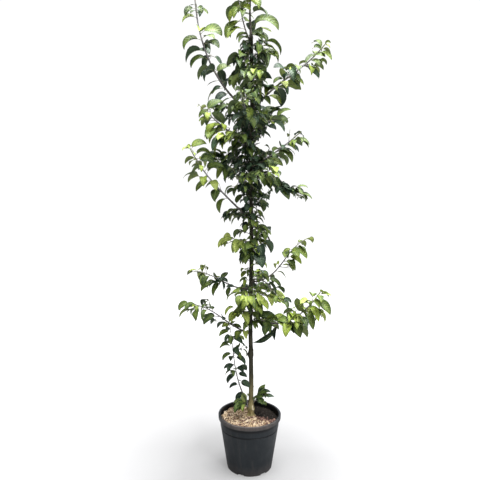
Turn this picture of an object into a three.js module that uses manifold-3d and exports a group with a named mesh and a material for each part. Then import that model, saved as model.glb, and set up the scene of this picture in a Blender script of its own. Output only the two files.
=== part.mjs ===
// A young evereste crabapple in a round nursery pot, over two metres tall with its pot.
// Units are millimetres, +Z is up, and the origin is the centre of the pot's flat underside.
import * as THREE from "three";
import { mergeVertices } from "three/addons/utils/BufferGeometryUtils.js";
import Module from "manifold-3d";

const wasm = await Module();
wasm.setup();

// Touching pieces keep this gap.
const GAP = 0.3;

// Pot: a tapered shell with a turned-down lip, a stacking ledge and arched notches at its foot.
const POT_HEIGHT = 245;
const LIP_RADIUS = 140;
const LIP_BAND = 18;
const NECK_RADIUS = 132.5;
const LEDGE_RADIUS = 128;
const LEDGE_HEIGHT = 190;
const LEDGE_STEP = 2;
const FOOT_RADIUS = 101.5;
const FOOT_ROUNDING = 6;
const WALL = 2.5;
const FLOOR = 3;
const EDGE = 1;
const POT_SIDES = 40;
const NOTCHES = 6;
const NOTCH_WIDTH = 30;
const NOTCH_HEIGHT = 9;
const NOTCH_DEPTH = 12;
const FIRST_NOTCH_AZIMUTH = 8;

// Soil and the wood chips that cover all of it but a dark patch behind on the right.
const SOIL_LEVEL = 224;
const CHIP_DEPTH = 7;
const CHIP_INNER_RADIUS = 24.5;
const CHIP_OUTER_MARGIN = 3;
const CHIP_START_AZIMUTH = 92;
const CHIP_SWEEP = 270;

// Trunk: heights and radii from the flat cut at soil level, through the root flare, the
// swelling of the graft, the knuckle of an old cut and on to the pruned top.
const TRUNK_X = 5;
const TRUNK_Y = 10;
const TRUNK_FOOT = SOIL_LEVEL + GAP;
const TRUNK_TOP = 1870;
const TRUNK_WANDER = 2;
const TRUNK_WAVELENGTH = 620;
const FOOT_TRUNK_RADIUS = 12;
const TOP_TRUNK_RADIUS = 7.6;
const TRUNK_TAPER = 0.4;
const ROOT_FLARE = { height: TRUNK_FOOT, spread: 13, swell: 11 };
const GRAFT = { height: 263, spread: 15, swell: 7.5 };
const KNUCKLE = { height: 514, spread: 12, swell: 2.6 };
const SWELLINGS = [ROOT_FLARE, GRAFT, KNUCKLE];
const TRUNK_SIDES = 10;
const TRUNK_RING_SPACING = 60;
const SWELLING_RING_SPACING = 8;
const SWELLING_REACH = 2.4;

// Slivers thinner than this are cleaned away after a join.
const SIMPLIFY = 0.02;

// Limbs and twigs.
const BOUGH_SIDES = 6;
const LEADER_SINK = 4;
const TWIG_SIDES = 3;
const RING_SPACING = 90;
const RING_TURN = 13;
const TIP_RADIUS_SHARE = 0.45;
const SPUR_LENGTH = 44;
const SPUR_LENGTH_RANGE = 0.3;
const FIRST_SPUR = 0.16;
const SPUR_STRETCH = 0.7;
const SPUR_RADIUS = 1.8;
const SPUR_SPREAD = 58;
const SPUR_TURN = 137.5;

// A spur's rosette starts near its tip and steps down it, each leaf a little smaller.
const ROSETTE_LEAVES = 3;
const ROSETTE_TOP = 0.97;
const ROSETTE_STEP = 0.2;
const ROSETTE_SIZE = 0.94;
const ROSETTE_SIZE_STEP = 0.08;

// Leaves: two fifths of a turn lies between one and the next along a shoot.
const LEAF_TURN = 144;
const LEAF_SPREAD = 52;
const LEAF_LIFT = 0.12;
const LEAF_UPTURN = 0.6;
const LEAF_SWING = 12;
const LEAF_WIDTH = 0.54;
const LEAF_WIDEST = 0.55;
const LEAF_ROOT = 1.1;
const LEAF_THICKNESS = 0.026;
const LEAF_DROOP = 78;
const LEAF_DROOP_RANGE = 52;
const LEAF_ROLL = 50;
const LEAF_SIZE_RANGE = 0.14;
const TIP_LEAVES = 2;
const TIP_LEAF_SIZE = 0.66;
const TIP_LEAF_SPREAD = 24;
const TIP_LEAF_PLACE = 0.985;
const TIP_LEAF_TURN = 60;
const LAST_LEAF_SIZE = 0.8;
const LAST_LEAVES_FROM = 0.85;
const LEAF_CLEARANCE = 1;

// One row for each shoot of the tree. Height is where it leaves the trunk. Azimuth is 0 to
// the right, 90 away, 180 to the left and 270 towards the viewer. Its slope is its rise at
// the foot, and changes by its bend to the tip and by its arch at the middle. The bare share
// of it is a bough, and the rest is the stem of a mass of leaves. Leaf is the length of a leaf
// with its stalk, leaves how many the stem has and spurs how many side twigs.
const COLUMNS = [
  "name", "height", "azimuth", "length", "rise", "bend", "arch", "radius", "bare",
  "leaf", "leaves", "spurs",
];
const SHOOT_ROWS = [
  ["sucker", 268, 186, 400, 55, 27, 12, 3.2, 0.3, 68, 10, 1],
  ["low_left", 610, 190, 325, 18, -20, 29, 4.0, 0.3, 76, 8, 3],
  ["low_right", 722, 345, 388, -61, 118, 28, 4.5, 0.3, 96, 10, 4],
  ["low_back", 690, 80, 290, 20, -10, 25, 4.0, 0.3, 84, 8, 3],
  ["mid_left", 815, 168, 275, -12, 9, 33, 3.6, 0.28, 78, 6, 2],
  ["mid_right", 845, 18, 345, -9, 25, 47, 3.6, 0.22, 76, 9, 3],
  ["upper_left", 1109, 200, 410, 44, 20, -8, 4.5, 0.3, 98, 8, 3],
  ["drooping_right", 1317, 12, 263, -21, 3, -7, 3.6, 0.25, 80, 7, 2],
  ["high_right", 1334, 335, 272, 27, 11, 1, 4.0, 0.25, 84, 8, 2],
  ["high_back", 1400, 85, 290, 35, 5, 10, 4.2, 0.3, 96, 8, 3],
  ["high_left", 1449, 205, 269, 9, 31, 9, 4.0, 0.25, 98, 7, 2],
  ["high_front", 1470, 258, 250, 30, 5, 10, 4.0, 0.25, 96, 7, 3],
  ["top_left", 1561, 170, 680, 35, 60, 5, 5.0, 0.15, 114, 16, 2],
  ["top_right", 1563, 350, 404, 58, -7, -20, 5.0, 0.2, 106, 10, 5],
  ["leader_left", 1844, 184, 270, 62, 15, 9, 3.1, 0.16, 110, 7, 0],
  ["leader", TRUNK_TOP, 175, 320, 84, 10, 3, 5.2, 0.14, 114, 9, 0],
  ["foot_left", 258, 218, 52, 48, -20, 0, 2.2, 0, 66, 3, 1],
  ["foot_right", 272, 20, 66, 52, -15, 0, 2.2, 0, 66, 3, 1],
  ["hanging_low", 660, 35, 64, 12, -40, 0, 2.4, 0, 70, 3, 1],
  ["lime_low_left", 706, 214, 66, 24, -50, 0, 2.4, 0, 78, 3, 1],
  ["low_front", 752, 262, 170, 14, -10, 20, 3.2, 0, 78, 5, 2],
  ["lime_low_right", 780, 322, 92, 22, -30, 0, 2.6, 0, 84, 4, 2],
  ["arching_right", 840, 318, 205, 50, -85, -38, 3.0, 0, 74, 5, 1],
  ["hanging_front", 985, 285, 44, 16, -40, 0, 2.2, 0, 90, 3, 1],
  ["lime_left", 1010, 190, 108, 28, -62, 8, 2.6, 0, 90, 4, 2],
  ["middle_right", 1058, 350, 56, 22, -20, 0, 2.2, 0, 74, 3, 1],
  ["slender_left", 1140, 172, 88, 22, -50, 0, 2.4, 0, 84, 4, 1],
  ["middle_back", 1172, 62, 130, 22, -12, 6, 3.0, 0, 86, 4, 2],
  ["upper_back", 1232, 118, 200, 22, -8, 8, 3.4, 0, 88, 5, 3],
  ["core_front", 1250, 245, 150, 18, -12, 6, 3.2, 0, 90, 5, 3],
  ["core_right", 1288, 305, 150, 12, -10, 6, 3.2, 0, 88, 4, 3],
  ["core_left", 1338, 160, 176, 14, -14, 8, 3.2, 0, 96, 5, 3],
  ["core_back", 1345, 52, 176, 16, -8, 8, 3.2, 0, 94, 5, 3],
  ["core_high_left", 1418, 224, 160, 18, -12, 8, 3.2, 0, 96, 5, 3],
  ["upper_right", 1544, 25, 190, -14, 36, 0, 3.0, 0, 80, 6, 1],
  ["core_high_back", 1525, 145, 168, 32, -10, 8, 3.2, 0, 96, 5, 2],
  ["crest_front", 1655, 278, 116, 36, -20, 8, 2.8, 0, 96, 4, 1],
  ["crest_back", 1698, 98, 124, 38, -16, 8, 2.8, 0, 98, 4, 2],
  ["crest_left", 1768, 196, 60, 34, -18, 0, 2.4, 0, 96, 3, 1],
  ["crest_right", 1792, 6, 62, 30, -16, 0, 2.4, 0, 108, 3, 1],
];
const SHOOTS = SHOOT_ROWS.map((row, index) => ({
  index,
  ...Object.fromEntries(COLUMNS.map((column, i) => [column, row[i]])),
}));

// What a random number is drawn for, and where the numbering of spurs and tip leaves starts.
const DRAW = { swing: 1, droop: 2, roll: 3, size: 4, twig: 5, leafTurn: 8, spurTurn: 9 };
const FIRST_TIP_ITEM = 60;
const FIRST_SPUR_ITEM = 100;
const ITEMS_PER_SPUR = 10;

const UP = new THREE.Vector3(0, 0, 1);
const radians = THREE.MathUtils.degToRad;
const degrees = THREE.MathUtils.radToDeg;

// A repeatable random number from 0 to 1 for one property of one leaf or twig of a shoot.
function chance(shoot, item, property) {
  const wave = Math.sin(shoot * 12.9898 + item * 78.233 + property * 37.719) * 43758.5453;
  return wave - Math.floor(wave);
}

const LARGEST_FIRST = (a, b) => b.volume() - a.volume();
const spread = (shoot, item, property) => 2 * chance(shoot, item, property) - 1;

// A three.js geometry as a solid, and a solid as a named mesh.
function solidOf(geometry) {
  geometry.deleteAttribute("normal");
  geometry.deleteAttribute("uv");
  const merged = mergeVertices(geometry);
  return new wasm.Manifold(
    new wasm.Mesh({
      numProp: 3,
      vertProperties: merged.attributes.position.array,
      triVerts: new Uint32Array(merged.index.array),
    }),
  );
}

function meshOf(name, solid, material) {
  const { vertProperties, triVerts } = solid.getMesh();
  const geometry = new THREE.BufferGeometry();
  geometry.setAttribute("position", new THREE.BufferAttribute(vertProperties, 3));
  geometry.setIndex(new THREE.BufferAttribute(triVerts, 1));
  geometry.computeVertexNormals();
  const mesh = new THREE.Mesh(geometry, material);
  mesh.name = name;
  return mesh;
}

// A surface of revolution about Z from [radius, height] pairs that start and end on the axis.
function turned(profile) {
  const points = profile.map(([radius, height]) => new THREE.Vector2(radius, height));
  return solidOf(new THREE.LatheGeometry(points, POT_SIDES).rotateX(Math.PI / 2));
}

// The path of a shoot: a chain of short steps whose slope follows its rise, bend and arch.
class ShootPath extends THREE.Curve {
  constructor(shoot, start) {
    super();
    this.shoot = shoot;
    this.heading = new THREE.Vector3(
      Math.cos(radians(shoot.azimuth)),
      Math.sin(radians(shoot.azimuth)),
      0,
    );
    this.side = new THREE.Vector3().crossVectors(UP, this.heading);
    this.points = [start.clone()];
    for (let step = 0; step < ShootPath.STEPS; step++) {
      const middle = (step + 0.5) / ShootPath.STEPS;
      const move = this.getTangent(middle).multiplyScalar(shoot.length / ShootPath.STEPS);
      this.points.push(this.points[step].clone().add(move));
    }
  }

  getTangent(t) {
    const { rise, bend, arch } = this.shoot;
    const slope = radians(rise + bend * t + arch * Math.sin(Math.PI * t));
    return this.heading.clone().multiplyScalar(Math.cos(slope)).addScaledVector(UP, Math.sin(slope));
  }

  getPoint(t) {
    const place = Math.min(Math.max(t, 0), 1) * ShootPath.STEPS;
    const step = Math.min(Math.floor(place), ShootPath.STEPS - 1);
    return this.points[step].clone().lerp(this.points[step + 1], place - step);
  }

  radiusAt(t) {
    return this.shoot.radius * (1 - (1 - TIP_RADIUS_SHARE) * t);
  }
}
ShootPath.STEPS = 40;

// A stretch of a path between two shares of it, as straight pieces between its rings.
class Limb {
  constructor(path, from, to, rings) {
    Object.assign(this, { path, from, to, rings });
  }

  centre(share) {
    const place = ((share - this.from) / (this.to - this.from)) * this.rings;
    const ring = Math.min(Math.max(Math.floor(place), 0), this.rings - 1);
    const ringPoint = (k) => this.path.getPoint(this.from + (k * (this.to - this.from)) / this.rings);
    return ringPoint(ring).lerp(ringPoint(ring + 1), place - ring);
  }

  // A closed limb: a cylinder of unit size whose rings are carried along the stretch, and
  // given the limb's radius there.
  solid(sides, radiusAt) {
    const geometry = new THREE.CylinderGeometry(1, 1, 1, sides, this.rings);
    const position = geometry.attributes.position;
    for (let i = 0; i < position.count; i++) {
      const share = this.from + (position.getY(i) + 0.5) * (this.to - this.from);
      const across = new THREE.Vector3().crossVectors(this.path.side, this.path.getTangent(share));
      const radius = radiusAt(share);
      const point = this.centre(share)
        .addScaledVector(this.path.side, position.getX(i) * radius)
        .addScaledVector(across, position.getZ(i) * radius);
      position.setXYZ(i, point.x, point.y, point.z);
    }
    return solidOf(geometry);
  }
}

// Trunk
function trunkCentre(height) {
  const turn = ((height - TRUNK_FOOT) / TRUNK_WAVELENGTH) * 2 * Math.PI;
  return new THREE.Vector3(
    TRUNK_X + TRUNK_WANDER * Math.sin(turn),
    TRUNK_Y + TRUNK_WANDER * Math.sin(turn * 0.7),
    height,
  );
}

function trunkRadius(height) {
  const climb = (height - TRUNK_FOOT) / (TRUNK_TOP - TRUNK_FOOT);
  const taper = FOOT_TRUNK_RADIUS + (TOP_TRUNK_RADIUS - FOOT_TRUNK_RADIUS) * climb ** TRUNK_TAPER;
  const swell = ({ height: middle, spread, swell: most }) =>
    most * Math.exp(-(((height - middle) / spread) ** 2));
  return SWELLINGS.reduce((radius, swelling) => radius + swell(swelling), taper);
}

function trunkSolid(extra) {
  const heights = [];
  for (let height = TRUNK_FOOT; height < TRUNK_TOP; ) {
    heights.push(height);
    const near = SWELLINGS.some(
      (swelling) => Math.abs(height - swelling.height) < SWELLING_REACH * swelling.spread,
    );
    height += near ? SWELLING_RING_SPACING : TRUNK_RING_SPACING;
  }
  heights.push(TRUNK_TOP);
  const geometry = new THREE.CylinderGeometry(1, 1, 1, TRUNK_SIDES, heights.length - 1);
  const position = geometry.attributes.position;
  for (let i = 0; i < position.count; i++) {
    const ring = Math.round((position.getY(i) + 0.5) * (heights.length - 1));
    const height = heights[ring];
    const centre = trunkCentre(height);
    const radius = trunkRadius(height) + extra;
    const end = (ring === heights.length - 1 ? extra : 0) - (ring === 0 ? extra : 0);
    position.setXYZ(
      i,
      centre.x + position.getX(i) * radius,
      centre.y - position.getZ(i) * radius,
      height + end,
    );
  }
  return solidOf(geometry);
}

// Pot
function potProfile() {
  const slope = (LEDGE_RADIUS - FOOT_RADIUS) / (LEDGE_HEIGHT - FOOT_ROUNDING);
  const lipFoot = POT_HEIGHT - LIP_BAND;
  const corner = FOOT_ROUNDING * (1 - Math.SQRT1_2);
  return [
    [0, 0],
    [FOOT_RADIUS - FOOT_ROUNDING, 0],
    [FOOT_RADIUS - corner, corner],
    [FOOT_RADIUS, FOOT_ROUNDING],
    [LEDGE_RADIUS, LEDGE_HEIGHT],
    [LEDGE_RADIUS + LEDGE_STEP, LEDGE_HEIGHT + LEDGE_STEP],
    [NECK_RADIUS, POT_HEIGHT - WALL],
    [LIP_RADIUS - WALL, POT_HEIGHT - WALL],
    [LIP_RADIUS - WALL, lipFoot],
    [LIP_RADIUS, lipFoot],
    [LIP_RADIUS, POT_HEIGHT - EDGE],
    [LIP_RADIUS - EDGE, POT_HEIGHT],
    [NECK_RADIUS - WALL, POT_HEIGHT],
    [LEDGE_RADIUS + LEDGE_STEP - WALL, LEDGE_HEIGHT + LEDGE_STEP],
    [LEDGE_RADIUS - WALL, LEDGE_HEIGHT],
    [FOOT_RADIUS - WALL - slope * (FOOT_ROUNDING - FLOOR), FLOOR],
    [0, FLOOR],
  ];
}
// The cutter of one notch: an arch whose span stands upright, pushed in through the wall.
function notchSolid(azimuth) {
  const half = NOTCH_WIDTH / 2;
  const arch = new THREE.Shape();
  arch.moveTo(-half, -EDGE);
  arch.lineTo(half, -EDGE);
  arch.quadraticCurveTo(half, NOTCH_HEIGHT, 0, NOTCH_HEIGHT);
  arch.quadraticCurveTo(-half, NOTCH_HEIGHT, -half, -EDGE);
  const geometry = new THREE.ExtrudeGeometry(arch, {
    depth: NOTCH_DEPTH + EDGE,
    curveSegments: 4,
    bevelEnabled: false,
  });
  geometry.rotateX(Math.PI / 2);
  geometry.rotateZ(Math.PI / 2);
  geometry.translate(FOOT_RADIUS - NOTCH_DEPTH, 0, 0);
  geometry.rotateZ(radians(azimuth));
  return solidOf(geometry);
}

function potSolid() {
  let pot = turned(potProfile());
  for (let i = 0; i < NOTCHES; i++) {
    pot = pot.subtract(notchSolid(FIRST_NOTCH_AZIMUTH + (i * 360) / NOTCHES));
  }
  return pot;
}

function soilSolid() {
  const slope = (LEDGE_RADIUS - FOOT_RADIUS) / (LEDGE_HEIGHT - FOOT_ROUNDING);
  const foot = FOOT_RADIUS - WALL - slope * (FOOT_ROUNDING - FLOOR) - GAP;
  const neckSlope = (NECK_RADIUS - LEDGE_RADIUS - LEDGE_STEP) / (POT_HEIGHT - LEDGE_HEIGHT);
  const ledge = LEDGE_RADIUS - WALL - GAP;
  return turned([
    [0, FLOOR + GAP],
    [foot, FLOOR + GAP],
    [ledge, LEDGE_HEIGHT],
    [ledge + neckSlope * (SOIL_LEVEL - LEDGE_HEIGHT), SOIL_LEVEL],
    [0, SOIL_LEVEL],
  ]);
}

function chipSolid() {
  const outer = LEDGE_RADIUS - WALL - CHIP_OUTER_MARGIN;
  const start = radians(CHIP_START_AZIMUTH);
  const end = radians(CHIP_START_AZIMUTH + CHIP_SWEEP);
  const outline = new THREE.Shape();
  outline.absarc(0, 0, outer, start, end, false);
  outline.absarc(TRUNK_X, TRUNK_Y, CHIP_INNER_RADIUS, end, start, true);
  const geometry = new THREE.ExtrudeGeometry(outline, {
    depth: CHIP_DEPTH,
    curveSegments: 14,
    bevelEnabled: false,
  });
  return solidOf(geometry.translate(0, 0, SOIL_LEVEL + GAP));
}

// A leaf of eight faces: its root is an edge sunk in its twig, its flat top folds at the widest
// place, and a keel runs below. It bends down along an arc from its root to its tip.
const LEAF_FACES = [
  0, 3, 2, 5, 2, 3, 0, 2, 1, 0, 1, 3, 1, 2, 4, 1, 4, 3, 4, 2, 5, 4, 5, 3,
];

function leafSolid(leaf, extra) {
  const { droop, slope, length } = leaf;
  const ahead = new THREE.Vector3(Math.cos(leaf.heading), Math.sin(leaf.heading), 0);
  const left = new THREE.Vector3().crossVectors(UP, ahead);
  const along = (share) => {
    const here = slope - droop * share;
    return leaf.root
      .clone()
      .addScaledVector(ahead, (length * (Math.sin(slope) - Math.sin(here))) / droop)
      .addScaledVector(UP, (length * (Math.cos(here) - Math.cos(slope))) / droop);
  };
  const rolled = (share) => {
    const here = slope - droop * share;
    const normal = ahead.clone().multiplyScalar(-Math.sin(here)).addScaledVector(UP, Math.cos(here));
    const side = left
      .clone()
      .multiplyScalar(Math.cos(leaf.roll))
      .addScaledVector(normal, Math.sin(leaf.roll));
    const face = normal.multiplyScalar(Math.cos(leaf.roll)).addScaledVector(left, -Math.sin(leaf.roll));
    return { side, face };
  };
  const root = rolled(0);
  const wide = rolled(LEAF_WIDEST);
  const half = (length * LEAF_WIDTH) / 2 + extra;
  const depth = length * LEAF_THICKNESS + extra;
  const widest = along(LEAF_WIDEST);
  const corners = [
    along(0).addScaledVector(root.face, LEAF_ROOT / 2),
    along(0).addScaledVector(root.face, -LEAF_ROOT / 2),
    widest.clone().addScaledVector(wide.side, half).addScaledVector(wide.face, extra),
    widest.clone().addScaledVector(wide.side, -half).addScaledVector(wide.face, extra),
    widest.clone().addScaledVector(wide.face, -depth),
    along(1 + extra / length),
  ];
  const geometry = new THREE.BufferGeometry().setFromPoints(corners);
  geometry.setIndex(LEAF_FACES);
  return solidOf(geometry);
}

// The direction that leaves a limb at an angle, on the side given by a turn round the limb.
function leaving(path, share, turn, angle) {
  const tangent = path.getTangent(share);
  const across = new THREE.Vector3().crossVectors(path.side, tangent);
  return path.side
    .clone()
    .multiplyScalar(Math.cos(turn) * Math.sin(angle))
    .addScaledVector(across, Math.sin(turn) * Math.sin(angle))
    .addScaledVector(tangent, Math.cos(angle));
}

// Where a leaf stands: it leaves its twig at an angle, turned round the twig, and twists so
// that its stalk rises a little whichever side of the twig it is on.
function leafAt(shoot, item, limb, share, turn, length, angle = LEAF_SPREAD) {
  const direction = leaving(limb.path, share, turn, radians(angle));
  direction.z = Math.abs(direction.z) * LEAF_UPTURN + LEAF_LIFT;
  direction.normalize();
  const swing = radians(LEAF_SWING) * spread(shoot, item, DRAW.swing);
  return {
    root: limb.centre(share),
    heading: Math.atan2(direction.y, direction.x) + swing,
    slope: Math.asin(direction.z),
    droop: radians(LEAF_DROOP + LEAF_DROOP_RANGE * chance(shoot, item, DRAW.droop)),
    roll: radians(LEAF_ROLL) * spread(shoot, item, DRAW.roll),
    length: length * (1 + LEAF_SIZE_RANGE * spread(shoot, item, DRAW.size)),
  };
}

// Solids already in place, each with its box, which a new twig or leaf keeps clear of.
const placed = [];

function boxOf(solid) {
  const { min, max } = solid.boundingBox();
  return new THREE.Box3(new THREE.Vector3(...min), new THREE.Vector3(...max));
}

function place(solid) {
  const entry = { solid, box: boxOf(solid) };
  placed.push(entry);
  return entry;
}

function isFree(solid, others) {
  const box = boxOf(solid);
  return others.every(
    (other) => !other.box.intersectsBox(box) || other.solid.intersect(solid).isEmpty(),
  );
}

// The side twig of a shoot, a straight one that leaves the stem at an angle.
function spurOf(shoot, limb, number) {
  const item = FIRST_SPUR_ITEM + number;
  const place = FIRST_SPUR + (SPUR_STRETCH * (number + 0.5)) / shoot.spurs;
  const share = shoot.bare + (1 - shoot.bare) * place;
  const turn = radians(SPUR_TURN * number + 360 * chance(shoot.index, 0, DRAW.spurTurn));
  const direction = leaving(limb.path, share, turn, radians(SPUR_SPREAD));
  const row = {
    azimuth: degrees(Math.atan2(direction.y, direction.x)),
    length: SPUR_LENGTH * (1 + SPUR_LENGTH_RANGE * spread(shoot.index, item, DRAW.twig)),
    rise: degrees(Math.asin(direction.z)),
    bend: 0,
    arch: 0,
    radius: SPUR_RADIUS,
  };
  return new Limb(new ShootPath(row, limb.centre(share)), 0, 1, 1);
}

// The mass of leaves on a shoot: its stem, then spurs with a rosette each, then single leaves
// round the stem and a few at its tip. What would touch something else is left off.
function massSolid(shoot, limb, stem) {
  const pieces = [stem.solid];
  const others = placed.filter((other) => other !== stem);
  const blades = [];
  const addLeaf = (leaf) => {
    const blade = leafSolid(leaf, 0);
    const sleeve = leafSolid(leaf, LEAF_CLEARANCE);
    if (!isFree(sleeve, others) || !isFree(blade, blades)) return;
    pieces.push(blade);
    blades.push({ solid: blade, box: boxOf(blade) });
  };

  for (let number = 0; number < shoot.spurs; number++) {
    const twig = spurOf(shoot, limb, number);
    if (!isFree(twig.solid(TWIG_SIDES, () => 2 * SPUR_RADIUS), others)) continue;
    pieces.push(twig.solid(TWIG_SIDES, (share) => twig.path.radiusAt(share)));
    for (let k = 0; k < ROSETTE_LEAVES; k++) {
      const item = (FIRST_SPUR_ITEM + number) * ITEMS_PER_SPUR + k;
      const turn = radians(k * LEAF_TURN + 90 * number);
      const size = shoot.leaf * (ROSETTE_SIZE - ROSETTE_SIZE_STEP * k);
      addLeaf(leafAt(shoot.index, item, twig, ROSETTE_TOP - ROSETTE_STEP * k, turn, size));
    }
  }

  const firstTurn = 360 * chance(shoot.index, 0, DRAW.leafTurn);
  for (let i = 0; i < shoot.leaves; i++) {
    const share = shoot.bare + (1 - shoot.bare) * ((i + 0.6) / (shoot.leaves + 0.4));
    const size = shoot.leaf * (share > LAST_LEAVES_FROM ? LAST_LEAF_SIZE : 1);
    addLeaf(leafAt(shoot.index, i, limb, share, radians(i * LEAF_TURN + firstTurn), size));
  }

  for (let k = 0; k < TIP_LEAVES; k++) {
    const turn = radians(180 * k + TIP_LEAF_TURN);
    const size = shoot.leaf * TIP_LEAF_SIZE;
    const item = FIRST_TIP_ITEM + k;
    addLeaf(leafAt(shoot.index, item, limb, TIP_LEAF_PLACE, turn, size, TIP_LEAF_SPREAD));
  }

  const joined = wasm.Manifold.union(pieces);
  return joined.decompose().sort(LARGEST_FIRST)[0].simplify(SIMPLIFY);
}

// Materials
const finish = (color, roughness) => new THREE.MeshStandardMaterial({ color, roughness, metalness: 0 });
const charcoalPlastic = finish(0x32363a, 0.55);
const darkCompost = finish(0x2c221b, 0.95);
const tanChips = finish(0xb08d62, 0.9);
const greyBrownBark = finish(0x5c5343, 0.85);
const greenLeaf = finish(0x4d7a35, 0.6);

// The whole plant
const tree = new THREE.Group();
const pot = potSolid();
const soil = soilSolid();
const chips = chipSolid();
const trunk = trunkSolid(0);
const trunkSleeve = trunkSolid(GAP);
tree.add(meshOf("pot", pot, charcoalPlastic));
tree.add(meshOf("soil", soil, darkCompost));
tree.add(meshOf("wood_chips", chips, tanChips));
tree.add(meshOf("trunk", trunk, greyBrownBark));
[pot, soil, chips, trunk].forEach(place);

const grown = SHOOTS.map((shoot) => {
  const start = trunkCentre(Math.min(shoot.height, TRUNK_TOP - LEADER_SINK));
  const path = new ShootPath(shoot, start);
  const radiusAt = (t) => path.radiusAt(t);
  const turning = Math.abs(shoot.bend) + 2 * Math.abs(shoot.arch);
  const segments = Math.max(shoot.length / RING_SPACING, turning / RING_TURN);
  const rings = (share) => Math.max(1, Math.round(share * segments));
  const clear = (solid) => solid.subtract(trunkSleeve).decompose().sort(LARGEST_FIRST)[0];
  const stretch = (from, to) => new Limb(path, from, to, rings(to - from));
  const stemStart = shoot.bare > 0 ? shoot.bare + GAP / shoot.length : 0;
  const bough =
    shoot.bare > 0 ? place(clear(stretch(0, shoot.bare).solid(BOUGH_SIDES, radiusAt))) : null;
  const limb = stretch(stemStart, 1);
  const stem = place(clear(limb.solid(TWIG_SIDES, radiusAt)));
  return { shoot, limb, bough, stem };
});

for (const { shoot, limb, bough, stem } of grown) {
  if (bough) tree.add(meshOf(`bough_${shoot.name}`, bough.solid, greyBrownBark));
  stem.solid = massSolid(shoot, limb, stem);
  stem.box = boxOf(stem.solid);
  tree.add(meshOf(`leaves_${shoot.name}`, stem.solid, greenLeaf));
}

export default tree;
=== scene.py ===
# %% [markdown]
# # A young crabapple in a nursery pot
#
# This lesson dresses a plain solid model of a potted tree. The solids already say where the
# pot, the trunk, the boughs and the masses of leaves are, so each step below makes the fine
# surface of one of them in the same place. Everything is worked out with numpy as whole arrays
# of points, which is quick even for a crown of two thousand leaves.

# %% Load the solid model
import math

import bpy
import numpy as np
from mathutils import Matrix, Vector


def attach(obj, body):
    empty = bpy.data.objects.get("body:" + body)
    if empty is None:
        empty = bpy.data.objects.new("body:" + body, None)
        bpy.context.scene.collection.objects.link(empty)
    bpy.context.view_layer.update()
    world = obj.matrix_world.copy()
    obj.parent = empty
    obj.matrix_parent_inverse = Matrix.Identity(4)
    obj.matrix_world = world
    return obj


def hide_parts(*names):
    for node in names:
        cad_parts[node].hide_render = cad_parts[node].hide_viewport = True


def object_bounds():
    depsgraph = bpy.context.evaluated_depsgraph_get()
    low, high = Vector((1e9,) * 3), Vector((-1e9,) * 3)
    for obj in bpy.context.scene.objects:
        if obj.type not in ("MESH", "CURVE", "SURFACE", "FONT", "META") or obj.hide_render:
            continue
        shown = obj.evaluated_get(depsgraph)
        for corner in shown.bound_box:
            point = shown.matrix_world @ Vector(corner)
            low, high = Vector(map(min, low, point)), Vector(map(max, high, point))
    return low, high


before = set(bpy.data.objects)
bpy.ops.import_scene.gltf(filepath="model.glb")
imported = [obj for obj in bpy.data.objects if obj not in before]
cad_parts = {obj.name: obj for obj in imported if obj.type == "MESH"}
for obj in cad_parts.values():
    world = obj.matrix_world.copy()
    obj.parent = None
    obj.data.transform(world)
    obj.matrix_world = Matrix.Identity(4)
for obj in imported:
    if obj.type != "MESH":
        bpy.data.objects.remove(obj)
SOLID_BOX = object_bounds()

MM = 0.001
UP = np.array([0.0, 0.0, 1.0])
NODES = sorted(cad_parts)
BOUGH_NODES = [name for name in NODES if name.startswith("bough_")]
LEAF_NODES = [name for name in NODES if name.startswith("leaves_")]
print("solid model:", len(NODES), "nodes,", [round(v, 3) for v in SOLID_BOX[1]], "highest corner")

# %% [markdown]
# ## The camera
#
# The picture was taken at about eye height, looking slightly down. A camera is a place, two
# turns and a lens, so it is set from those four numbers, and everything else is judged through it.

# %% Set the camera
CAMERA_DISTANCE = 2.2
CAMERA_HEIGHT = 1.293
CAMERA_PITCH = math.radians(6.87)
CAMERA_YAW = math.radians(1.117)
LENS_MM = 38.52
SENSOR_MM = 36

camera_data = bpy.data.cameras.new("camera")
camera_data.lens = LENS_MM
camera_data.sensor_width = SENSOR_MM
camera_data.sensor_fit = "HORIZONTAL"
camera = bpy.data.objects.new("camera", camera_data)
camera.location = (0, -CAMERA_DISTANCE, CAMERA_HEIGHT)
camera.rotation_euler = (math.pi / 2 - CAMERA_PITCH, 0, CAMERA_YAW)
bpy.context.scene.collection.objects.link(camera)
bpy.context.scene.camera = camera
print("camera", CAMERA_DISTANCE, "m away at", CAMERA_HEIGHT, "m")

# %% [markdown]
# ## Surfaces from arrays
#
# A surface is a grid of points with faces between neighbours. Blender takes such arrays whole
# through foreach_set, which is far quicker than adding faces one by one. A Shape holds the
# points, the faces and any values that a material reads, and several shapes join into one.


# %% Shapes and their faces
class Shape:
    """Points (n, 3), lists of faces of any number of corners, a uv (n, 2) and named values (n,)."""

    def __init__(self, points, faces, uv=None, values=None):
        self.points = points.reshape(-1, 3)
        self.faces = faces
        self.uv = uv
        self.values = values or {}


def joined(shapes):
    """Shapes one after the other, with the corner numbers of each moved past the points before."""
    starts = np.cumsum([0] + [len(shape.points) for shape in shapes[:-1]])
    faces = [face + start for shape, start in zip(shapes, starts) for face in shape.faces]
    uv = np.concatenate([s.uv for s in shapes]) if shapes[0].uv is not None else None
    names = shapes[0].values.keys()
    values = {name: np.concatenate([s.values[name] for s in shapes]) for name in names}
    return Shape(np.concatenate([s.points for s in shapes]), faces, uv, values)


def grid_faces(rows, columns, closed):
    """Quads between neighbouring rows and columns; closed joins the last column to the first."""
    row, column = np.meshgrid(np.arange(rows - 1), np.arange(columns - (not closed)), indexing="ij")
    beside = (column + 1) % columns
    corners = [row * columns + column, (row + 1) * columns + column]
    corners += [(row + 1) * columns + beside, row * columns + beside]
    return np.stack(corners, axis=-1).reshape(-1, 4)


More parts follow.
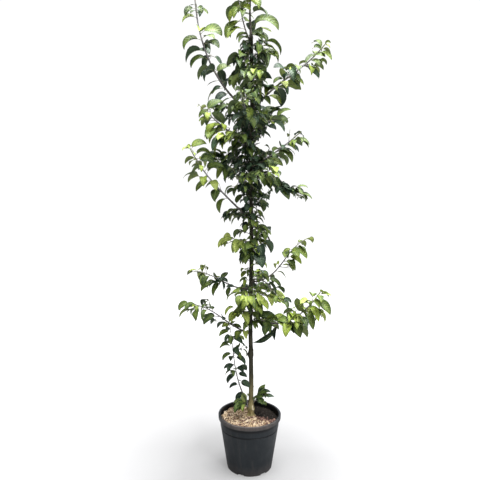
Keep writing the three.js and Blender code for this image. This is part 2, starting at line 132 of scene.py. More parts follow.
def closed_faces(rows, columns, flip=False):
    """Quads round a closed grid, and a fan at each end to the two points that follow the grid.
    A grid that climbs while its columns run anticlockwise is flipped, so that it faces outwards."""
    column = np.arange(columns)
    beside = (column + 1) % columns
    last = (rows - 1) * columns
    foot = np.stack([column, beside, np.full(columns, rows * columns)], axis=-1)
    tip = np.stack([last + beside, last + column, np.full(columns, rows * columns + 1)], axis=-1)
    faces = [grid_faces(rows, columns, True), np.concatenate([foot, tip])]
    return [face[:, ::-1] for face in faces] if flip else faces


def round_axis(radius, angle, height):
    """Points at a radius and an angle round the upright axis, and at a height."""
    parts = np.broadcast_arrays(radius * np.cos(angle), radius * np.sin(angle), height)
    return np.stack(parts, axis=-1)


def copies_of(faces, count, points_each):
    """The same faces for each of a number of equal shapes that lie one after the other."""
    steps = np.arange(count)[:, None, None] * points_each
    return (faces[None] + steps).reshape(-1, faces.shape[1])


# %% From a shape to a piece of the plant
def build(name, shape, material, smooth=True):
    """A Blender object with the shape's points, faces, uv and values, at the origin."""
    mesh = bpy.data.meshes.new(name)
    corners = np.concatenate([face.ravel() for face in shape.faces])
    sizes = np.concatenate([np.full(len(face), face.shape[1]) for face in shape.faces])
    starts = np.concatenate([[0], np.cumsum(sizes)[:-1]])
    mesh.vertices.add(len(shape.points))
    mesh.vertices.foreach_set("co", shape.points.astype(np.float32).ravel())
    mesh.loops.add(len(corners))
    mesh.loops.foreach_set("vertex_index", corners.astype(np.int32))
    mesh.polygons.add(len(sizes))
    mesh.polygons.foreach_set("loop_start", starts.astype(np.int32))
    mesh.update(calc_edges=True)
    mesh.polygons.foreach_set("use_smooth", np.full(len(sizes), smooth))
    if shape.uv is not None:
        layer = mesh.uv_layers.new(name="surface")
        layer.uv.foreach_set("vector", shape.uv[corners].astype(np.float32).ravel())
    for key, value in shape.values.items():
        attribute = mesh.attributes.new(key, "FLOAT", "POINT")
        attribute.data.foreach_set("value", value.astype(np.float32))
    mesh.materials.append(material)
    piece = bpy.data.objects.new(name, mesh)
    bpy.context.scene.collection.objects.link(piece)
    triangles = int((sizes - 2).sum())
    print(f"{name}: {triangles} triangles")
    return piece


def dress(piece, nodes):
    """The piece moves with the plant's one body and stands for the nodes that it replaces."""
    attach(piece, "root")
    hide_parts(*nodes)


# %% [markdown]
# ## Materials from small parts
#
# Every finish here is procedural. Two effects serve several materials, so each is a node group
# with named inputs: weathering, which gives patches, grain and relief at a chosen size, and the
# skin of a leaf, with its midrib and side veins. The shader itself stays in each material. The
# numbers of a finish stand above it: a noise has a scale and a detail, weathering has the scales
# of its patches and its grain, and a bump has a depth and a strength.


# %% A short way to write node trees
class Wiring:
    """Adds nodes to a tree; an input given as a socket is linked, and any other value is set."""

    def __init__(self, tree):
        self.tree = tree

    def set(self, socket, value):
        """Links the socket to another one, or sets its value."""
        if isinstance(value, bpy.types.NodeSocket):
            self.tree.links.new(value, socket)
        else:
            socket.default_value = value

    def add(self, kind, inputs=None, **settings):
        """A node of a kind, with its own settings first and then values for some of its inputs."""
        node = self.tree.nodes.new(kind)
        for key, value in settings.items():
            setattr(node, key, value)
        for key, value in (inputs or {}).items():
            self.set(node.inputs[key], value)
        return node

    def math(self, operation, first, second=0.0, clamp=False):
        """One of the Math node's operations on two numbers."""
        inputs = {0: first, 1: second}
        return self.add("ShaderNodeMath", inputs, operation=operation, use_clamp=clamp).outputs[0]

    def times(self, first, second, clamp=False):
        """The first number multiplied by the second."""
        return self.math("MULTIPLY", first, second, clamp)

    def held_sum(self, *numbers):
        """The numbers added up, and their sum held between nought and one."""
        total = numbers[0]
        for number in numbers[1:]:
            total = self.math("ADD", total, number)
        total.node.use_clamp = True
        return total

    def mix(self, factor, first, second):
        """The first colour where the factor is nought, and the second one where it is one."""
        inputs = {0: factor, 6: first, 7: second}
        return self.add("ShaderNodeMix", inputs, data_type="RGBA").outputs[2]

    def ranged(self, value, low, high, new_low=0.0, new_high=1.0):
        """The value carried evenly from one range to another, and held at the ends."""
        inputs = {"Value": value, "From Min": low, "From Max": high}
        inputs.update({"To Min": new_low, "To Max": new_high})
        return self.add("ShaderNodeMapRange", inputs).outputs[0]

    def noise(self, vector, scale, detail=4.0, roughness=0.6):
        """Cloudy noise around a half; the scale says how fine it is, in bumps to a metre."""
        inputs = {"Vector": vector, "Scale": scale, "Detail": detail, "Roughness": roughness}
        return self.add("ShaderNodeTexNoise", inputs).outputs["Fac"]

    def stretched(self, vector, scale):
        """The place multiplied axis by axis: a small number draws noise out along that axis."""
        return self.add("ShaderNodeMapping", {"Vector": vector, "Scale": scale}).outputs[0]

    def attribute(self, name):
        """The value that the mesh holds at each point under a name."""
        return self.add("ShaderNodeAttribute", attribute_name=name).outputs["Fac"]

    def object_place(self):
        """The place on the object, in metres from its origin."""
        return self.add("ShaderNodeTexCoord").outputs["Object"]


# %% An empty node group
COLOUR = "NodeSocketColor"
VALUE = "NodeSocketFloat"
VECTOR = "NodeSocketVector"


def new_group(name, inputs, outputs):
    """An empty node group with named sockets, given as pairs of a name and a socket type."""
    tree = bpy.data.node_groups.new(name, "ShaderNodeTree")
    for label, kind in inputs:
        tree.interface.new_socket(name=label, in_out="INPUT", socket_type=kind)
    for label, kind in outputs:
        tree.interface.new_socket(name=label, in_out="OUTPUT", socket_type=kind)
    wiring = Wiring(tree)
    return tree, wiring, wiring.add("NodeGroupInput"), wiring.add("NodeGroupOutput")


# %% An empty material
def new_material(name, roughness, specular):
    """A material with only its Principled shader, whose even values are set on its own sockets."""
    material = bpy.data.materials.new(name)
    material.use_nodes = True
    shader = material.node_tree.nodes["Principled BSDF"]
    shader.inputs["Roughness"].default_value = roughness
    shader.inputs["Specular IOR Level"].default_value = specular
    return material, Wiring(material.node_tree), shader


# %% The weathering group
PATCH_SHARE = 0.6
PATCH_RANGE = (0.35, 0.65)
GRAIN_DETAIL = (6.0, 0.7)
GRAIN_RANGE = (0.3, 0.7)


def make_weathering():
    """Large patches turn the light colour into the dark one, and fine grain gives the relief."""
    inputs = [("Light", COLOUR), ("Dark", COLOUR), ("Vector", VECTOR)]
    inputs += [("Patch Scale", VALUE), ("Grain Scale", VALUE)]
    outputs = [("Colour", COLOUR), ("Patches", VALUE), ("Relief", VALUE)]
    tree, wiring, given, result = new_group("weathering", inputs, outputs)
    light, dark, vector, patch_scale, grain_scale = [given.outputs[label] for label, _ in inputs]
    patches = wiring.ranged(wiring.noise(vector, patch_scale), *PATCH_RANGE)
    grain = wiring.noise(vector, grain_scale, *GRAIN_DETAIL)
    speckle = wiring.ranged(grain, *GRAIN_RANGE)
    patched = wiring.times(patches, PATCH_SHARE)
    blend = wiring.held_sum(patched, wiring.times(speckle, 1 - PATCH_SHARE))
    made = {"Colour": wiring.mix(blend, light, dark), "Patches": patches, "Relief": grain}
    for label, value in made.items():
        wiring.set(result.inputs[label], value)
    return tree


WEATHERING = make_weathering()


def weathered(wiring, light, dark, vector, patch_scale, grain_scale):
    """The outputs of a weathering node placed in a material, with the material's own values."""
    inputs = {"Light": (*light, 1), "Dark": (*dark, 1), "Vector": vector}
    inputs.update({"Patch Scale": patch_scale, "Grain Scale": grain_scale})
    return wiring.add("ShaderNodeGroup", inputs, node_tree=WEATHERING).outputs


def coat(wiring, shader, colour, height=None, distance=0.0, strength=1.0):
    """Gives the shader its colour and, from a height, relief that is a distance deep in metres."""
    wiring.set(shader.inputs["Base Color"], colour)
    if height is not None:
        inputs = {"Height": height, "Distance": distance, "Strength": strength}
        wiring.set(shader.inputs["Normal"], wiring.add("ShaderNodeBump", inputs).outputs[0])


# %% [markdown]
# ## The pot
#
# The pot is blown or moulded plastic: a tapered wall with a turned-down lip, a ledge where a
# stacked pot would rest, and six arched notches at its foot that let water out. It is a
# surface of revolution, so a profile carried round the axis makes it. The notches are the same
# surface pushed inwards where an arch stands on the floor, which leaves no seams to close.

# %% Sizes of the pot
POT_HEIGHT = 245 * MM
LIP_RADIUS = 140 * MM
LIP_BAND = 18 * MM
LIP_TAPER = 0.4 * MM
NECK_RADIUS = 132.5 * MM
LEDGE_RADIUS = 128 * MM
LEDGE_HEIGHT = 190 * MM
LEDGE_STEP = 2 * MM
GROOVE_DEPTH = 1.8 * MM
FOOT_RADIUS = 101.5 * MM
FOOT_ROUNDING = 6 * MM
FOOT_EDGE = 1 * MM
BELOW_LEDGE = (6 * MM, 4 * MM, 1 * MM)
ABOVE_LIP_FOOT = (3 * MM, 2.6 * MM)
WALL = 2.5 * MM
FLOOR = 3 * MM
FIRST_RING = 20 * MM
EDGE_ROUNDING = 2.2 * MM
RING_SPACING = 4 * MM
NOTCHES = 6
NOTCH_WIDTH = 30 * MM
NOTCH_HEIGHT = 9 * MM
NOTCH_DEPTH = 12 * MM
NOTCH_EDGE = 1 * MM
FIRST_NOTCH = math.radians(8)
SEAM_AZIMUTH = math.radians(291)
SEAM_WIDTH = 0.8 * MM
SEAM_HEIGHT = 0.35 * MM
SEAM_FOOT = 2 * MM
POT_SEGMENTS = 432
RIM_MARGIN = 1 * MM
MOST_OF_A_SIDE = 0.45
BEND_STEPS = 4
STEADY_RADIUS = 50 * MM
# Each wave of the wander has its size, how many go round, its phase and its turn on the way up.
WANDER = [(0.2 * MM, 3, 1, 0), (0.16 * MM, 5, 0, 14)]


def rounded(corners, radius):
    """A polyline of (radius, height) corners with each inner corner cut to a short smooth bend:
    (1-t)^2 start + 2t(1-t) corner + t^2 end, from points on both sides of the corner."""
    corners = np.array(corners)
    t = np.linspace(0, 1, BEND_STEPS)[:, None]
    line = [corners[:1]]
    for before, corner, after in zip(corners[:-2], corners[1:-1], corners[2:]):
        start, end = (
            corner + (other - corner) * min(radius / np.linalg.norm(other - corner), MOST_OF_A_SIDE)
            for other in (before, after)
        )
        line.append((1 - t) ** 2 * start + 2 * t * (1 - t) * corner + t**2 * end)
    return np.concatenate(line + [corners[-1:]])


def between(line, spacing):
    """The polyline with long stretches divided, so that no step is longer than the spacing."""
    pieces = [line[:1]]
    for start, end in zip(line[:-1], line[1:]):
        count = max(1, int(math.ceil(np.linalg.norm(end - start) / spacing)))
        shares = np.arange(1, count + 1)[:, None] / count
        pieces.append(start + (end - start) * shares)
    return np.concatenate(pieces)


# %% The profile of the pot
def pot_profile():
    """Radius and height from the middle of the underside, out, up, over the lip and back inside."""
    lip_foot = POT_HEIGHT - LIP_BAND
    slope = (LEDGE_RADIUS - FOOT_RADIUS) / (LEDGE_HEIGHT - FOOT_ROUNDING)
    groove = LEDGE_RADIUS - GROOVE_DEPTH
    wall_top, groove_foot, groove_top = (LEDGE_HEIGHT - below for below in BELOW_LEDGE)
    neck_top, lip_inside = (lip_foot + above for above in ABOVE_LIP_FOOT)
    outside = [
        (FIRST_RING, 0), (FOOT_RADIUS - FOOT_EDGE, 0), (FOOT_RADIUS, FOOT_ROUNDING),
        (LEDGE_RADIUS, wall_top), (groove, groove_foot), (groove, groove_top),
        (LEDGE_RADIUS + LEDGE_STEP, LEDGE_HEIGHT + LEDGE_STEP), (NECK_RADIUS, neck_top),
        (LIP_RADIUS - WALL, lip_inside), (LIP_RADIUS - WALL, lip_foot),
        (LIP_RADIUS - LIP_TAPER, lip_foot), (LIP_RADIUS, POT_HEIGHT), (NECK_RADIUS - WALL, POT_HEIGHT),
    ]
    inside = [
        (LEDGE_RADIUS + LEDGE_STEP - WALL, LEDGE_HEIGHT + LEDGE_STEP),
        (LEDGE_RADIUS - WALL, LEDGE_HEIGHT),
        (FOOT_RADIUS - WALL - slope * (FOOT_ROUNDING - FLOOR), FLOOR), (FIRST_RING, FLOOR),
    ]
    return between(rounded(outside + inside, EDGE_ROUNDING), RING_SPACING)


# %% Arches, a seam and a slight wander
def away_from(angle, azimuth):
    """The signed turn from an azimuth to an angle, between minus and plus half a turn."""
    return (angle - azimuth + math.pi) % (2 * math.pi) - math.pi


def arch_share(angle, height):
    """One inside a notch's arch and nought outside it, with a soft edge a millimetre wide."""
    step = 2 * math.pi / NOTCHES
    away = (angle - FIRST_NOTCH + step / 2) % step - step / 2
    across = np.abs(away) * FOOT_RADIUS / (NOTCH_WIDTH / 2)
    top = NOTCH_HEIGHT * np.sqrt(np.clip(1 - across**2, 0, 1))
    return np.clip((top - height) / NOTCH_EDGE, 0, 1)


def pot_shape():
    """Radius = profile - notch + seam + a slight wander that grows with height, round the axis."""
    profile = pot_profile()
    angle = np.linspace(0, 2 * math.pi, POT_SEGMENTS, endpoint=False)[None, :]
    radius, height = profile[:, :1], profile[:, 1:]
    rings = np.arange(len(profile))[:, None]
    outer = rings < np.argmax(profile[:, 1] > POT_HEIGHT - RIM_MARGIN)
    notch = arch_share(angle, height) * outer * (radius > FOOT_RADIUS - NOTCH_DEPTH)
    notch = notch * np.minimum(NOTCH_DEPTH, radius - FOOT_RADIUS + NOTCH_DEPTH)
    seam = SEAM_HEIGHT * np.exp(-((away_from(angle, SEAM_AZIMUTH) * radius / SEAM_WIDTH) ** 2))
    seam = seam * outer * (height > SEAM_FOOT)
    climb = height / POT_HEIGHT
    wander = 0
    for size, turns, phase, twist in WANDER:
        wander = wander + size * np.sin(turns * angle + phase + twist * climb)
    wander = wander * climb * (radius > STEADY_RADIUS)
    points = round_axis(radius - notch + seam + wander, angle, height)
    poles = np.array([[0, 0, 0], [0, 0, FLOOR]])
    faces = closed_faces(len(profile), POT_SEGMENTS, flip=True)
    return Shape(np.concatenate([points.reshape(-1, 3), poles]), faces)


# %% Dust, painted light and painted shade on the pot
SMEAR_SCALE = (1, 1, 0.5)
FOOT_DUST_TOP = 50 * MM
# The lip's band and its front, where the dust is mixed with painted light.
LIP_DUST_AND_LIGHT = (226 * MM, 232 * MM)
# Heights of painted shade in the groove and under the lip, and the radius inside which the rim's inner
# wall is painted dark as shade.
GROOVE_SHADE = (183.0 * MM, 186.5 * MM, 188.5 * MM, 191.5 * MM)
UNDER_LIP_SHADE = (210.0 * MM, 218.0 * MM, 227.2 * MM, 227.6 * MM)
SHADED_INSIDE_RADIUS = 131.2 * MM
FRONT_DUST_AND_LIGHT = (-30 * MM, -120 * MM, 0.12, 1.8)
SMEARS = (42, 8)
SMEAR_RANGE = (0.30, 0.75, 0.35)
DUST_SHARE = 0.42
# How strong the painted shade is in the groove and under the lip.
GROOVE_SHADE_SHARE = 0.85
UNDER_LIP_SHADE_SHARE = 0.9


def band(wiring, height, start, full, still_full, end):
    """One between the two middle heights, and falling evenly to nought at the outer ones."""
    rising = wiring.ranged(height, start, full)
    falling = wiring.ranged(height, still_full, end, 1.0, 0.0)
    return wiring.times(rising, falling)


def dust_and_painted_light_on_pot(wiring, vector, place):
    """A smeared share of dust: low on the wall, and on the lip, most at the front, where the lip's dust
    is partly painted light.
    """
    low = wiring.ranged(place["Z"], FOOT_DUST_TOP, 0.0)
    front = wiring.ranged(place["Y"], *FRONT_DUST_AND_LIGHT)
    where = wiring.math("ADD", low, wiring.times(wiring.ranged(place["Z"], *LIP_DUST_AND_LIGHT), front))
    patches = wiring.noise(wiring.stretched(vector, SMEAR_SCALE), *SMEARS)
    smear = wiring.ranged(patches, *SMEAR_RANGE)
    return wiring.times(wiring.times(smear, where), DUST_SHARE, clamp=True)


def painted_shade_on_pot(wiring, place):
    """The share of painted shade in the groove, in the angle under the lip, and inside the rim."""
    groove = wiring.times(band(wiring, place["Z"], *GROOVE_SHADE), GROOVE_SHADE_SHARE)
    under_lip = wiring.times(band(wiring, place["Z"], *UNDER_LIP_SHADE), UNDER_LIP_SHADE_SHARE)
    flat = wiring.add("ShaderNodeCombineXYZ", {"X": place["X"], "Y": place["Y"]}).outputs[0]
    radius = wiring.add("ShaderNodeVectorMath", {0: flat}, operation="LENGTH").outputs["Value"]
    inside = wiring.math("LESS_THAN", radius, SHADED_INSIDE_RADIUS)
    inside = wiring.times(inside, wiring.math("GREATER_THAN", place["Z"], UNDER_LIP_SHADE[-1]))
    return wiring.math("MAXIMUM", wiring.math("MAXIMUM", groove, under_lip), inside)


# %% The plastic of the pot
CHARCOAL = (0.029, 0.0365, 0.0425)
WORN_CHARCOAL = (0.019, 0.024, 0.029)
DUST = (0.20, 0.165, 0.15, 1)
# The nearly black colour of the painted shade.
PAINTED_SHADE = (0.007, 0.008, 0.009, 1)
STREAK_SCALE = (1, 1, 0.05)
STREAKS = (70, 5)
STREAK_RANGE = (0.5, 0.8, 0, 0.16)
POT_WEATHER = (9, 420)
POT_ROUGHNESS = (0.42, 0.58)
POT_BUMP = (0.25 * MM, 0.35)


def pot_plastic():
    """Charcoal plastic with faint streaks down the wall, under the dust, the painted light on the lip and
    the painted shade.
    """
    material, wiring, shader = new_material("charcoal plastic", roughness=0.5, specular=0.3)
    vector = wiring.object_place()
    place = wiring.add("ShaderNodeSeparateXYZ", {"Vector": vector}).outputs
    base = weathered(wiring, CHARCOAL, WORN_CHARCOAL, vector, *POT_WEATHER)
    streaks = wiring.noise(wiring.stretched(vector, STREAK_SCALE), *STREAKS)
    streaks = wiring.ranged(streaks, *STREAK_RANGE)
    colour = wiring.mix(streaks, base["Colour"], DUST)
    # Dust low on the wall, and dust with painted light on the front of the lip.
    colour = wiring.mix(dust_and_painted_light_on_pot(wiring, vector, place), colour, DUST)
    # Painted shade in the groove, under the lip and on the inner wall of the rim.
    colour = wiring.mix(painted_shade_on_pot(wiring, place), colour, PAINTED_SHADE)
    wiring.set(shader.inputs["Roughness"], wiring.ranged(base["Patches"], 0, 1, *POT_ROUGHNESS))
    coat(wiring, shader, colour, base["Relief"], *POT_BUMP)
    return material


pot = build("nursery_pot", pot_shape(), pot_plastic())
dress(pot, ["pot"])

# %% [markdown]
# ## Soil and wood chips
#
# Compost fills the pot, and a layer of chipped bark and wood covers it, but for a dark patch
# behind on the right. The compost is a disc whose height is a sum of waves. The chips are
# two thousand small bent slabs. Each is the same little grid of corners, stretched, turned and
# laid by its own random numbers, in layers, so that edges catch the light as real chips do.

# %% Waves that stand in for noise
WAVE_FADE = 0.6


def rolling(x, y, count, low, high, seed):
    """A height between about minus one and one over a plane: a sum of sines in random directions,
    with pitches from low to high, each one flatter the finer it is."""
    random = np.random.default_rng(seed)
    pitch = np.geomspace(low, high, count)
    turn = random.uniform(0, 2 * math.pi, count)
    phase = random.uniform(0, 2 * math.pi, count)
    size = (low / pitch) ** WAVE_FADE
    total = np.zeros_like(x)
    for p, a, f, s in zip(pitch, turn, phase, size):
        total = total + s * np.sin(p * (x * math.cos(a) + y * math.sin(a)) + f)
    return total / np.sum(size) * 2


# %% The compost
SOIL_LEVEL = 224 * MM
SOIL_RADIUS = 127.6 * MM
SOIL_MIDDLE = 1 * MM
SOIL_DEPTH = 16 * MM
SOIL_SINK = 2.5 * MM
SOIL_BUMPS = 3.6 * MM
SOIL_WAVES = (18, 60, 1400, 3)
SOIL_RINGS = 70
SOIL_SEGMENTS = 200


def soil_shape():
    """A disc: radius by angle, its height from rolling waves, closed by a skirt and a floor."""
    angle = np.linspace(0, 2 * math.pi, SOIL_SEGMENTS, endpoint=False)[None, :]
    outwards = np.linspace(SOIL_MIDDLE, SOIL_RADIUS, SOIL_RINGS)
    radius = np.concatenate([outwards, [SOIL_RADIUS, SOIL_MIDDLE]])[:, None]
    bumps = rolling(radius * np.cos(angle), radius * np.sin(angle), *SOIL_WAVES) * SOIL_BUMPS
    top = SOIL_LEVEL - SOIL_SINK + bumps
    underside = SOIL_LEVEL - SOIL_DEPTH
    height = np.where(np.arange(len(radius))[:, None] < SOIL_RINGS, top, underside)
    points = round_axis(radius, angle, height).reshape(-1, 3)
    middle = np.array([[0, 0, top[0].mean()], [0, 0, underside]])
    return Shape(np.concatenate([points, middle]), closed_faces(len(radius), SOIL_SEGMENTS))


# %% The finish of the compost
COMPOST = (0.024, 0.018, 0.013)
WET_COMPOST = (0.006, 0.0045, 0.004)
FLECK = (0.16, 0.14, 0.13, 1)
FLECKS = (140, 3)
FLECK_RANGE = (0.62, 0.68)
COMPOST_WEATHER = (70, 600)
COMPOST_BUMP = (3 * MM, 1.0)


def compost():
    """Nearly black compost with a few small grey flecks."""
    material, wiring, shader = new_material("dark compost", roughness=0.92, specular=0.25)
    vector = wiring.object_place()
    base = weathered(wiring, COMPOST, WET_COMPOST, vector, *COMPOST_WEATHER)
    fleck = wiring.ranged(wiring.noise(vector, *FLECKS), *FLECK_RANGE)
    coat(wiring, shader, wiring.mix(fleck, base["Colour"], FLECK), base["Relief"], *COMPOST_BUMP)
    return material


soil = build("compost", soil_shape(), compost())
dress(soil, ["soil"])

# %% [markdown]
# ## One chip after another
#
# A chip is three rings of four corners. Its length, width, thickness, taper, bend and ragged
# corners are drawn first, then the three turns that lay it down, and last the place where it
# lies. Numbers for all the chips of a colour are drawn together, as arrays of (chip, 1, 1).

# %% Slabs of wood
CHIP_RINGS = np.array([-0.5, -0.05, 0.5])[:, None]
CHIP_CORNERS = np.array([[-0.5, -0.5], [0.5, -0.5], [0.5, 0.5], [-0.5, 0.5]])
CHIP_POINTS = len(CHIP_RINGS) * len(CHIP_CORNERS)
CHIP_LENGTH = 13.5
LENGTH_SPREAD = 0.42
LENGTH_LIMITS = (6, 40)
WIDTH_SHARES = (0.18, 0.5)
WIDTH_LIMITS = (3 * MM, 11 * MM)
THICKNESSES = (1.3, 3.2)
TAPERS = (0.45, 1.05)
CHIP_BEND = 0.07
RAGGEDNESS = 0.09
CHIP_ROLL = 0.35
CHIP_TILT = 0.2


def turned(first, second, angle):
    """Two coordinates turned in their plane, from the first one's axis towards the second's."""
    cos, sin = np.cos(angle), np.sin(angle)
    return first * cos - second * sin, first * sin + second * cos


def slabs(random, count):
    """Corners x, y, z of chips that taper and bend along their length and are turned about it,
    tilted and turned about the vertical; and the lengths of the chips."""
    each = (count, 1, 1)
    length = np.clip(random.lognormal(math.log(CHIP_LENGTH), LENGTH_SPREAD, each), *LENGTH_LIMITS) * MM
    width = np.clip(length * random.uniform(*WIDTH_SHARES, each), *WIDTH_LIMITS)
    thick = random.uniform(*THICKNESSES, each) * MM
    taper = random.uniform(*TAPERS, (count, len(CHIP_RINGS), 1))
    bend = random.normal(0, CHIP_BEND, each) * length
    ragged = random.normal(0, RAGGEDNESS, (count, len(CHIP_RINGS), len(CHIP_CORNERS), 3))
    x = length * (CHIP_RINGS + ragged[..., 0])
    y = width * (CHIP_CORNERS[:, 0] * taper + ragged[..., 1])
    z = thick * (CHIP_CORNERS[:, 1] + ragged[..., 2]) + bend * (1 - 4 * CHIP_RINGS**2)
    y, z = turned(y, z, random.normal(0, CHIP_ROLL, each))
    z, x = turned(z, x, random.normal(0, CHIP_TILT, each))
    x, y = turned(x, y, random.uniform(0, 2 * math.pi, each))
    return x, y, z, length


# %% Where the chips lie
CHIP_START = math.radians(92)
CHIP_SWEEP = math.radians(270)
CHIP_REACH = 124 * MM
CLEAR_OF_TRUNK = 27 * MM
CHIP_LAYERS = 4
CHIPS_A_LAYER = 430
CHIP_BED = SOIL_LEVEL + 0.5 * MM
BED_SWELL = 1.5 * MM
BED_WAVES = (5, 30, 120, 8)
LAYER_RISE = 2.4 * MM
THIN_EDGE = 0.12
THIN_EDGE_LAYERS = 0.3
BEHIND = 0.25
BEHIND_LAYERS = 0.5
STRAY = 0.06
INNERMOST_SHARE = 0.035
LENGTH_INSIDE = 0.38
TRUNK_X = 5 * MM
TRUNK_Y = 10 * MM


def chip_shape(count, seed, lowest_layer, sweep):
    """Chips strewn evenly over a sector round the trunk, in layers that thin out at the sector's
    two edges and behind: place = start + sweep x chance, reach = radius x root of chance."""
    random = np.random.default_rng(seed)
    each = (count, 1, 1)
    x, y, z, length = slabs(random, count)
    place = CHIP_START + sweep * random.uniform(0, 1, each) + random.normal(0, STRAY, each)
    reach = CHIP_REACH * np.sqrt(random.uniform(INNERMOST_SHARE, 1, each))
    reach = np.maximum(reach - length * LENGTH_INSIDE, CLEAR_OF_TRUNK)
    layer = random.uniform(lowest_layer, CHIP_LAYERS, each)
    edge = np.abs(place - CHIP_START - CHIP_SWEEP / 2) > CHIP_SWEEP / 2 - THIN_EDGE
    inner_layers = np.where(np.sin(place) > BEHIND, BEHIND_LAYERS, 1.0)
    layer = layer * np.where(edge, THIN_EDGE_LAYERS, inner_layers)
    near_trunk = 1 - reach / CHIP_REACH
    middle_x = TRUNK_X * near_trunk + reach * np.cos(place)
    middle_y = TRUNK_Y * near_trunk + reach * np.sin(place)
    bed = CHIP_BED + layer * LAYER_RISE + rolling(middle_x, middle_y, *BED_WAVES) * BED_SWELL
    points = np.stack([x + middle_x, y + middle_y, z + bed], axis=-1)
    sides = grid_faces(len(CHIP_RINGS), len(CHIP_CORNERS), True)[:, ::-1]
    ends = np.array([[0, 1, 2, 3], [11, 10, 9, 8]])
    faces = copies_of(np.concatenate([sides, ends]), count, CHIP_POINTS)
    tone = np.repeat(random.uniform(0, 1, count), CHIP_POINTS)
    return Shape(points, [faces], values={"tone": tone})


# %% Lay the chips
CHIP_WEATHER = (60, 900)
CHIP_SHADE = 0.75
CHIP_BUMP = (0.7 * MM, 0.6)


def chip_wood(name, light, dark):
    """Split wood: each chip has its own tone, with fibres and stains from the weathering."""
    material, wiring, shader = new_material(name, roughness=0.82, specular=0.3)
    base = weathered(wiring, light, dark, wiring.object_place(), *CHIP_WEATHER)
    tone = wiring.times(wiring.attribute("tone"), CHIP_SHADE)
    shade = wiring.mix(tone, base["Colour"], (*dark, 1))
    coat(wiring, shader, shade, base["Relief"], *CHIP_BUMP)
    return material


# Each kind has its share of the chips, its lowest layer and the part of the sector it covers.
FIRST_CHIP_SEED = 40
CHIP_KINDS = [
    ("chips_tan", 0.46, 0.0, 0.86, (0.80, 0.63, 0.41), (0.40, 0.28, 0.17)),
    ("chips_cream", 0.34, 0.9, 0.82, (0.88, 0.76, 0.57), (0.64, 0.49, 0.33)),
    ("chips_red", 0.36, 0.2, 0.92, (0.42, 0.25, 0.20), (0.11, 0.06, 0.046)),
]
for number, (name, share, lowest, around, light, dark) in enumerate(CHIP_KINDS):
    count = int(CHIP_LAYERS * CHIPS_A_LAYER * share)
    shape = chip_shape(count, FIRST_CHIP_SEED + number, lowest, around * CHIP_SWEEP)
    chips = build(name, shape, chip_wood(name, light, dark), False)
    dress(chips, ["wood_chips"])

# %% [markdown]
# ## The trunk
#
# A trunk is a tall tube whose radius changes with height: a flare where the roots begin, the
# swollen union where the garden tree was grafted to its rootstock, and the knuckle of an old
# cut. Its skin has relief of its own, so the tube is a fine grid of angle by height, and the
# radius of each point gets ribs, scars and a pruning wound added. Heights are millimetres here,
# as in the growth rule that follows.

# %% Sizes of the trunk
TRUNK_FOOT = 224.3
TRUNK_TOP = 1870
TRUNK_WANDER = 2
TRUNK_WAVELENGTH = 620
SLOWER_WAVE = 0.7
FOOT_TRUNK_RADIUS = 12
TOP_TRUNK_RADIUS = 7.6
TRUNK_TAPER = 0.4
ROOT_FLARE = (TRUNK_FOOT, 13, 11)
GRAFT = (263, 15, 7.5)
KNUCKLE = (514, 12, 2.6)
TRUNK_COLUMNS = 84
TRUNK_ROWS = 860


def hill(away, half_width):
    """A bell-shaped rise: one where away is nought, and next to nothing at twice the half width."""
    return np.exp(-((away / half_width) ** 2))


def trunk_centre(height):
    """The wandering axis: two slow sines of the height, in millimetres, as (..., 3)."""
    height = np.asarray(height, float)
    turn = (height - TRUNK_FOOT) / TRUNK_WAVELENGTH * 2 * math.pi
    x = TRUNK_X / MM + TRUNK_WANDER * np.sin(turn)
    y = TRUNK_Y / MM + TRUNK_WANDER * np.sin(turn * SLOWER_WAVE)
    return np.stack([x, y, height], axis=-1)


def trunk_radius(height):
    """A taper that is quick near the ground, plus a swelling at three heights."""
    climb = np.clip((height - TRUNK_FOOT) / (TRUNK_TOP - TRUNK_FOOT), 0, 1)
    radius = FOOT_TRUNK_RADIUS + (TOP_TRUNK_RADIUS - FOOT_TRUNK_RADIUS) * climb**TRUNK_TAPER
    for middle, spread, swell in (ROOT_FLARE, GRAFT, KNUCKLE):
        radius = radius + swell * hill(height - middle, spread)
    return radius


# %% Lobes, lumps and ridges of the bark
# Lobes are a number round the trunk, a phase and a lift. Swells and knobs are a height, half
# their own height, an azimuth in radians and a lift.
LOBE_FADE = 22
LOBES = [(5, 0.6, 2.4), (3, 2.1, 1.3)]
SIDE_SWELLS = [(270, 9, 2.6, 2.6), (246, 6, 5.4, 1.4)]
KNOBS = [(514, 11, 3.3, 4.6), (533, 9, 5.9, 2.8)]
KNOB_WIDTH = 0.8
RIDGES = 34
RIDGE_TURNS = (1, 15)
RIDGE_PITCHES = (0.004, 0.16)
FINER_PITCH = 2.6
RIDGE_LIFT = 0.75 / 5.5
NARROW_FADE = 0.12
SMOOTH_SHARE = 0.25
ROUGH_FADE = 130


def lumps(angle, height):
    """Root lobes at the foot, swellings on one side of the graft, and the knobs of the knuckle."""
    total = 0
    for turns, phase, lift in LOBES:
        total = total + lift * hill(height - TRUNK_FOOT, LOBE_FADE) * np.cos(turns * angle + phase)
    for middle, half, azimuth, lift in SIDE_SWELLS:
        total = total + lift * hill(height - middle, half) * np.cos(angle - azimuth)
    for middle, half, azimuth, lift in KNOBS:
        width = hill(away_from(angle, azimuth), KNOB_WIDTH)
        total = total + lift * hill(height - middle, half) * width
    return total


